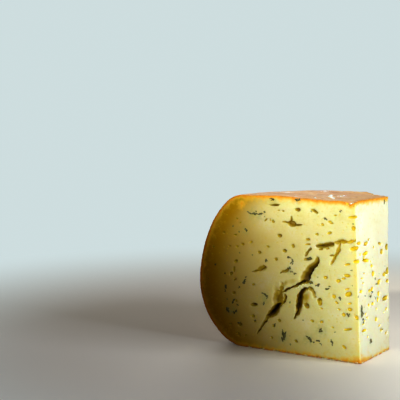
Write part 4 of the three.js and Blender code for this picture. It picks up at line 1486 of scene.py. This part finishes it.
def aim(light, place, target, power, tint):
    light.energy = power
    light.color = tint
    item = put_in_scene(light.name, light)
    item.location = place
    item.rotation_euler = (Vector(target) - Vector(place)).to_track_quat("-Z", "Y").to_euler()


def soft_light(name, size, **aimed):
    """A square light; aimed says where from, where to, how strong and in which tint."""
    light = bpy.data.lights.new(name, "AREA")
    light.size = size
    aim(light, **aimed)


def beam(name, angle, blend, **aimed):
    """A wide beam with a soft edge, so that the light falls off along the front cut."""
    light = bpy.data.lights.new(name, "SPOT")
    light.spot_size = math.radians(angle)
    light.spot_blend = blend
    light.shadow_soft_size = 0.03
    aim(light, **aimed)


def make_stage(settings):
    make_camera()
    make_floor(settings)
    make_world(settings)
    soft_light(
        "key", size=0.16, place=(0.34, 0, 0.22), target=(0.05, 0, 0.06), power=settings.key_light,
        tint=(0.7, 0.78, 1),
    )
    soft_light(
        "rear_fill", size=0.7, place=(-0.5, 0.55, 0.42), target=(0, 0, 0.045), power=settings.rear_light,
        tint=(0.96, 0.98, 1),
    )
    beam(
        "front", angle=48.6, blend=0.617, place=(0.25, -0.446, 0.149), target=(0.144, -0.0445, 0.121),
        power=settings.front_light, tint=(0.95, 1, 0.97),
    )
    beam(
        "upper", angle=9.94, blend=0.57, place=(0.009, -0.505, 0.402), target=(-0.007, -0.0445, 0.12),
        power=settings.front_light * UPPER_SHARE, tint=(1, 0.99, 0.9),
    )
    bpy.context.scene.view_settings.view_transform = "Standard"
    bpy.context.scene.view_settings.look = "High Contrast"


# ---- Settings, operators and the panel ---------------------------------------------------------

def colour_setting(name, description, *default):
    return FloatVectorProperty(
        name=name, description=description, default=colour(*default), subtype="COLOR", size=3, min=0, max=1,
    )


def power_setting(name, description, default):
    return FloatProperty(name=name, description=description, default=default, min=0, max=200, unit="POWER")


class CheeseSettings(bpy.types.PropertyGroup):
    paste_colour: colour_setting("Paste", "Colour of the freshly cut paste", 241, 235, 172)
    # Painted light: the deeper yellow that light takes just inside the eyes and the curd's pits.
    eye_glow_colour: colour_setting("Eyes", "Colour just inside the eyes and cracks", 232, 206, 44)
    rim_colour: colour_setting("Under the Rind", "Colour of the paste just under the rind", 242, 158, 38)
    rind_colour: colour_setting("Rind", "Colour of the rind", 230, 172, 112)
    herb_colour: colour_setting("Herb", "Colour of the chopped herb", 112, 108, 68)
    mould_colour: colour_setting("Mould", "Colour of the mould on the rind", 238, 236, 224)
    relief: FloatProperty(
        name="Relief", description="Strength of the unevenness of the rind and the cut faces", default=1.0,
        min=0, max=2, subtype="FACTOR",
    )
    eye_unevenness: FloatProperty(
        name="Eye Unevenness", description="How far an eye departs from an oval", default=0.9, min=0, max=2,
        subtype="FACTOR",
    )
    crack_roughness: FloatProperty(
        name="Crack Roughness", description="Height of the torn curd in a crack, in millimetres", default=0.75,
        min=0, max=2,
    )
    curd_density: FloatProperty(
        name="Torn Curd", description="Shreds of curd for each square metre of torn paste", default=340000.0,
        min=0, max=5000000,
    )
    bounce_colour: colour_setting("Floor's Bounce", "Colour of the light that the floor throws back", 98, 74, 44)
    floor_colour: colour_setting("Floor", "Colour of the floor", 244, 234, 214)
    backdrop_colour: colour_setting("Backdrop", "Colour behind the piece", 182, 193, 194)
    fill_colour: colour_setting("Fill Colour", "Colour of the light from all round", 240, 196, 118)
    fill_light: FloatProperty(name="Fill Light", description="Light from all round", default=0.018, min=0, max=5)
    key_light: power_setting("Key Light", "Power of the light from the right", 0.82)
    front_light: power_setting("Front Light", "Power of the light from the front", 7.55)
    rear_light: power_setting("Rear Light", "Power of the light from behind", 2.2)


class CheeseOperator:
    """What the operators share: how they run, and the scene's settings."""

    bl_options = {"REGISTER", "UNDO"}

    @staticmethod
    def settings(context):
        return context.scene.cheese_settings


class CHEESE_OT_body(CheeseOperator, bpy.types.Operator):
    """Make the piece of cheese with its rind, cut faces, eyes and cracks"""

    bl_idname = "cheese.body"
    bl_label = "Piece of Cheese"

    def execute(self, context):
        finish_piece(make_body(self.settings(context)), smooth=False)
        return {"FINISHED"}


class CHEESE_OT_herbs(CheeseOperator, bpy.types.Operator):
    """Make the scraps of chopped herb in the cut faces"""

    bl_idname = "cheese.herbs"
    bl_label = "Herbs"

    def execute(self, context):
        finish_piece(make_herbs(self.settings(context)))
        return {"FINISHED"}


class CHEESE_OT_mould(CheeseOperator, bpy.types.Operator):
    """Make the patches of white mould on the rind"""

    bl_idname = "cheese.mould"
    bl_label = "Mould"

    def execute(self, context):
        finish_piece(make_mould(self.settings(context)))
        return {"FINISHED"}


class CHEESE_OT_crumbs(CheeseOperator, bpy.types.Operator):
    """Make the torn curd in the cracks and the crumbs along the foot"""

    bl_idname = "cheese.crumbs"
    bl_label = "Crumbs"

    def execute(self, context):
        finish_piece(make_crumbs(self.settings(context)))
        return {"FINISHED"}


class CHEESE_OT_stage(CheeseOperator, bpy.types.Operator):
    """Make the floor, the backdrop, the lights and the camera"""

    bl_idname = "cheese.stage"
    bl_label = "Stage"

    def execute(self, context):
        make_stage(self.settings(context))
        return {"FINISHED"}


OPERATORS = (CHEESE_OT_stage, CHEESE_OT_body, CHEESE_OT_herbs, CHEESE_OT_mould, CHEESE_OT_crumbs)


class CHEESE_PT_panel(bpy.types.Panel):
    """Settings and pieces of the cheese"""

    bl_idname = "CHEESE_PT_panel"
    bl_label = "Herbed Mahon Cheese"
    bl_space_type = "VIEW_3D"
    bl_region_type = "UI"
    bl_category = "Cheese"

    def draw(self, context):
        settings = context.scene.cheese_settings
        column = self.layout.column(align=True)
        for operator in OPERATORS:
            column.operator(operator.bl_idname)
        column = self.layout.column()
        for label in CheeseSettings.__annotations__:
            column.prop(settings, label)


CLASSES = (CheeseSettings, *OPERATORS, CHEESE_PT_panel)


def register():
    for made in CLASSES:
        bpy.utils.register_class(made)
    bpy.types.Scene.cheese_settings = PointerProperty(type=CheeseSettings)


def unregister():
    del bpy.types.Scene.cheese_settings
    for made in reversed(CLASSES):
        bpy.utils.unregister_class(made)


def main():
    register()
    bpy.ops.cheese.stage()
    bpy.ops.cheese.body()
    bpy.ops.cheese.herbs()
    bpy.ops.cheese.mould()
    bpy.ops.cheese.crumbs()


if __name__ == "__main__":
    main()
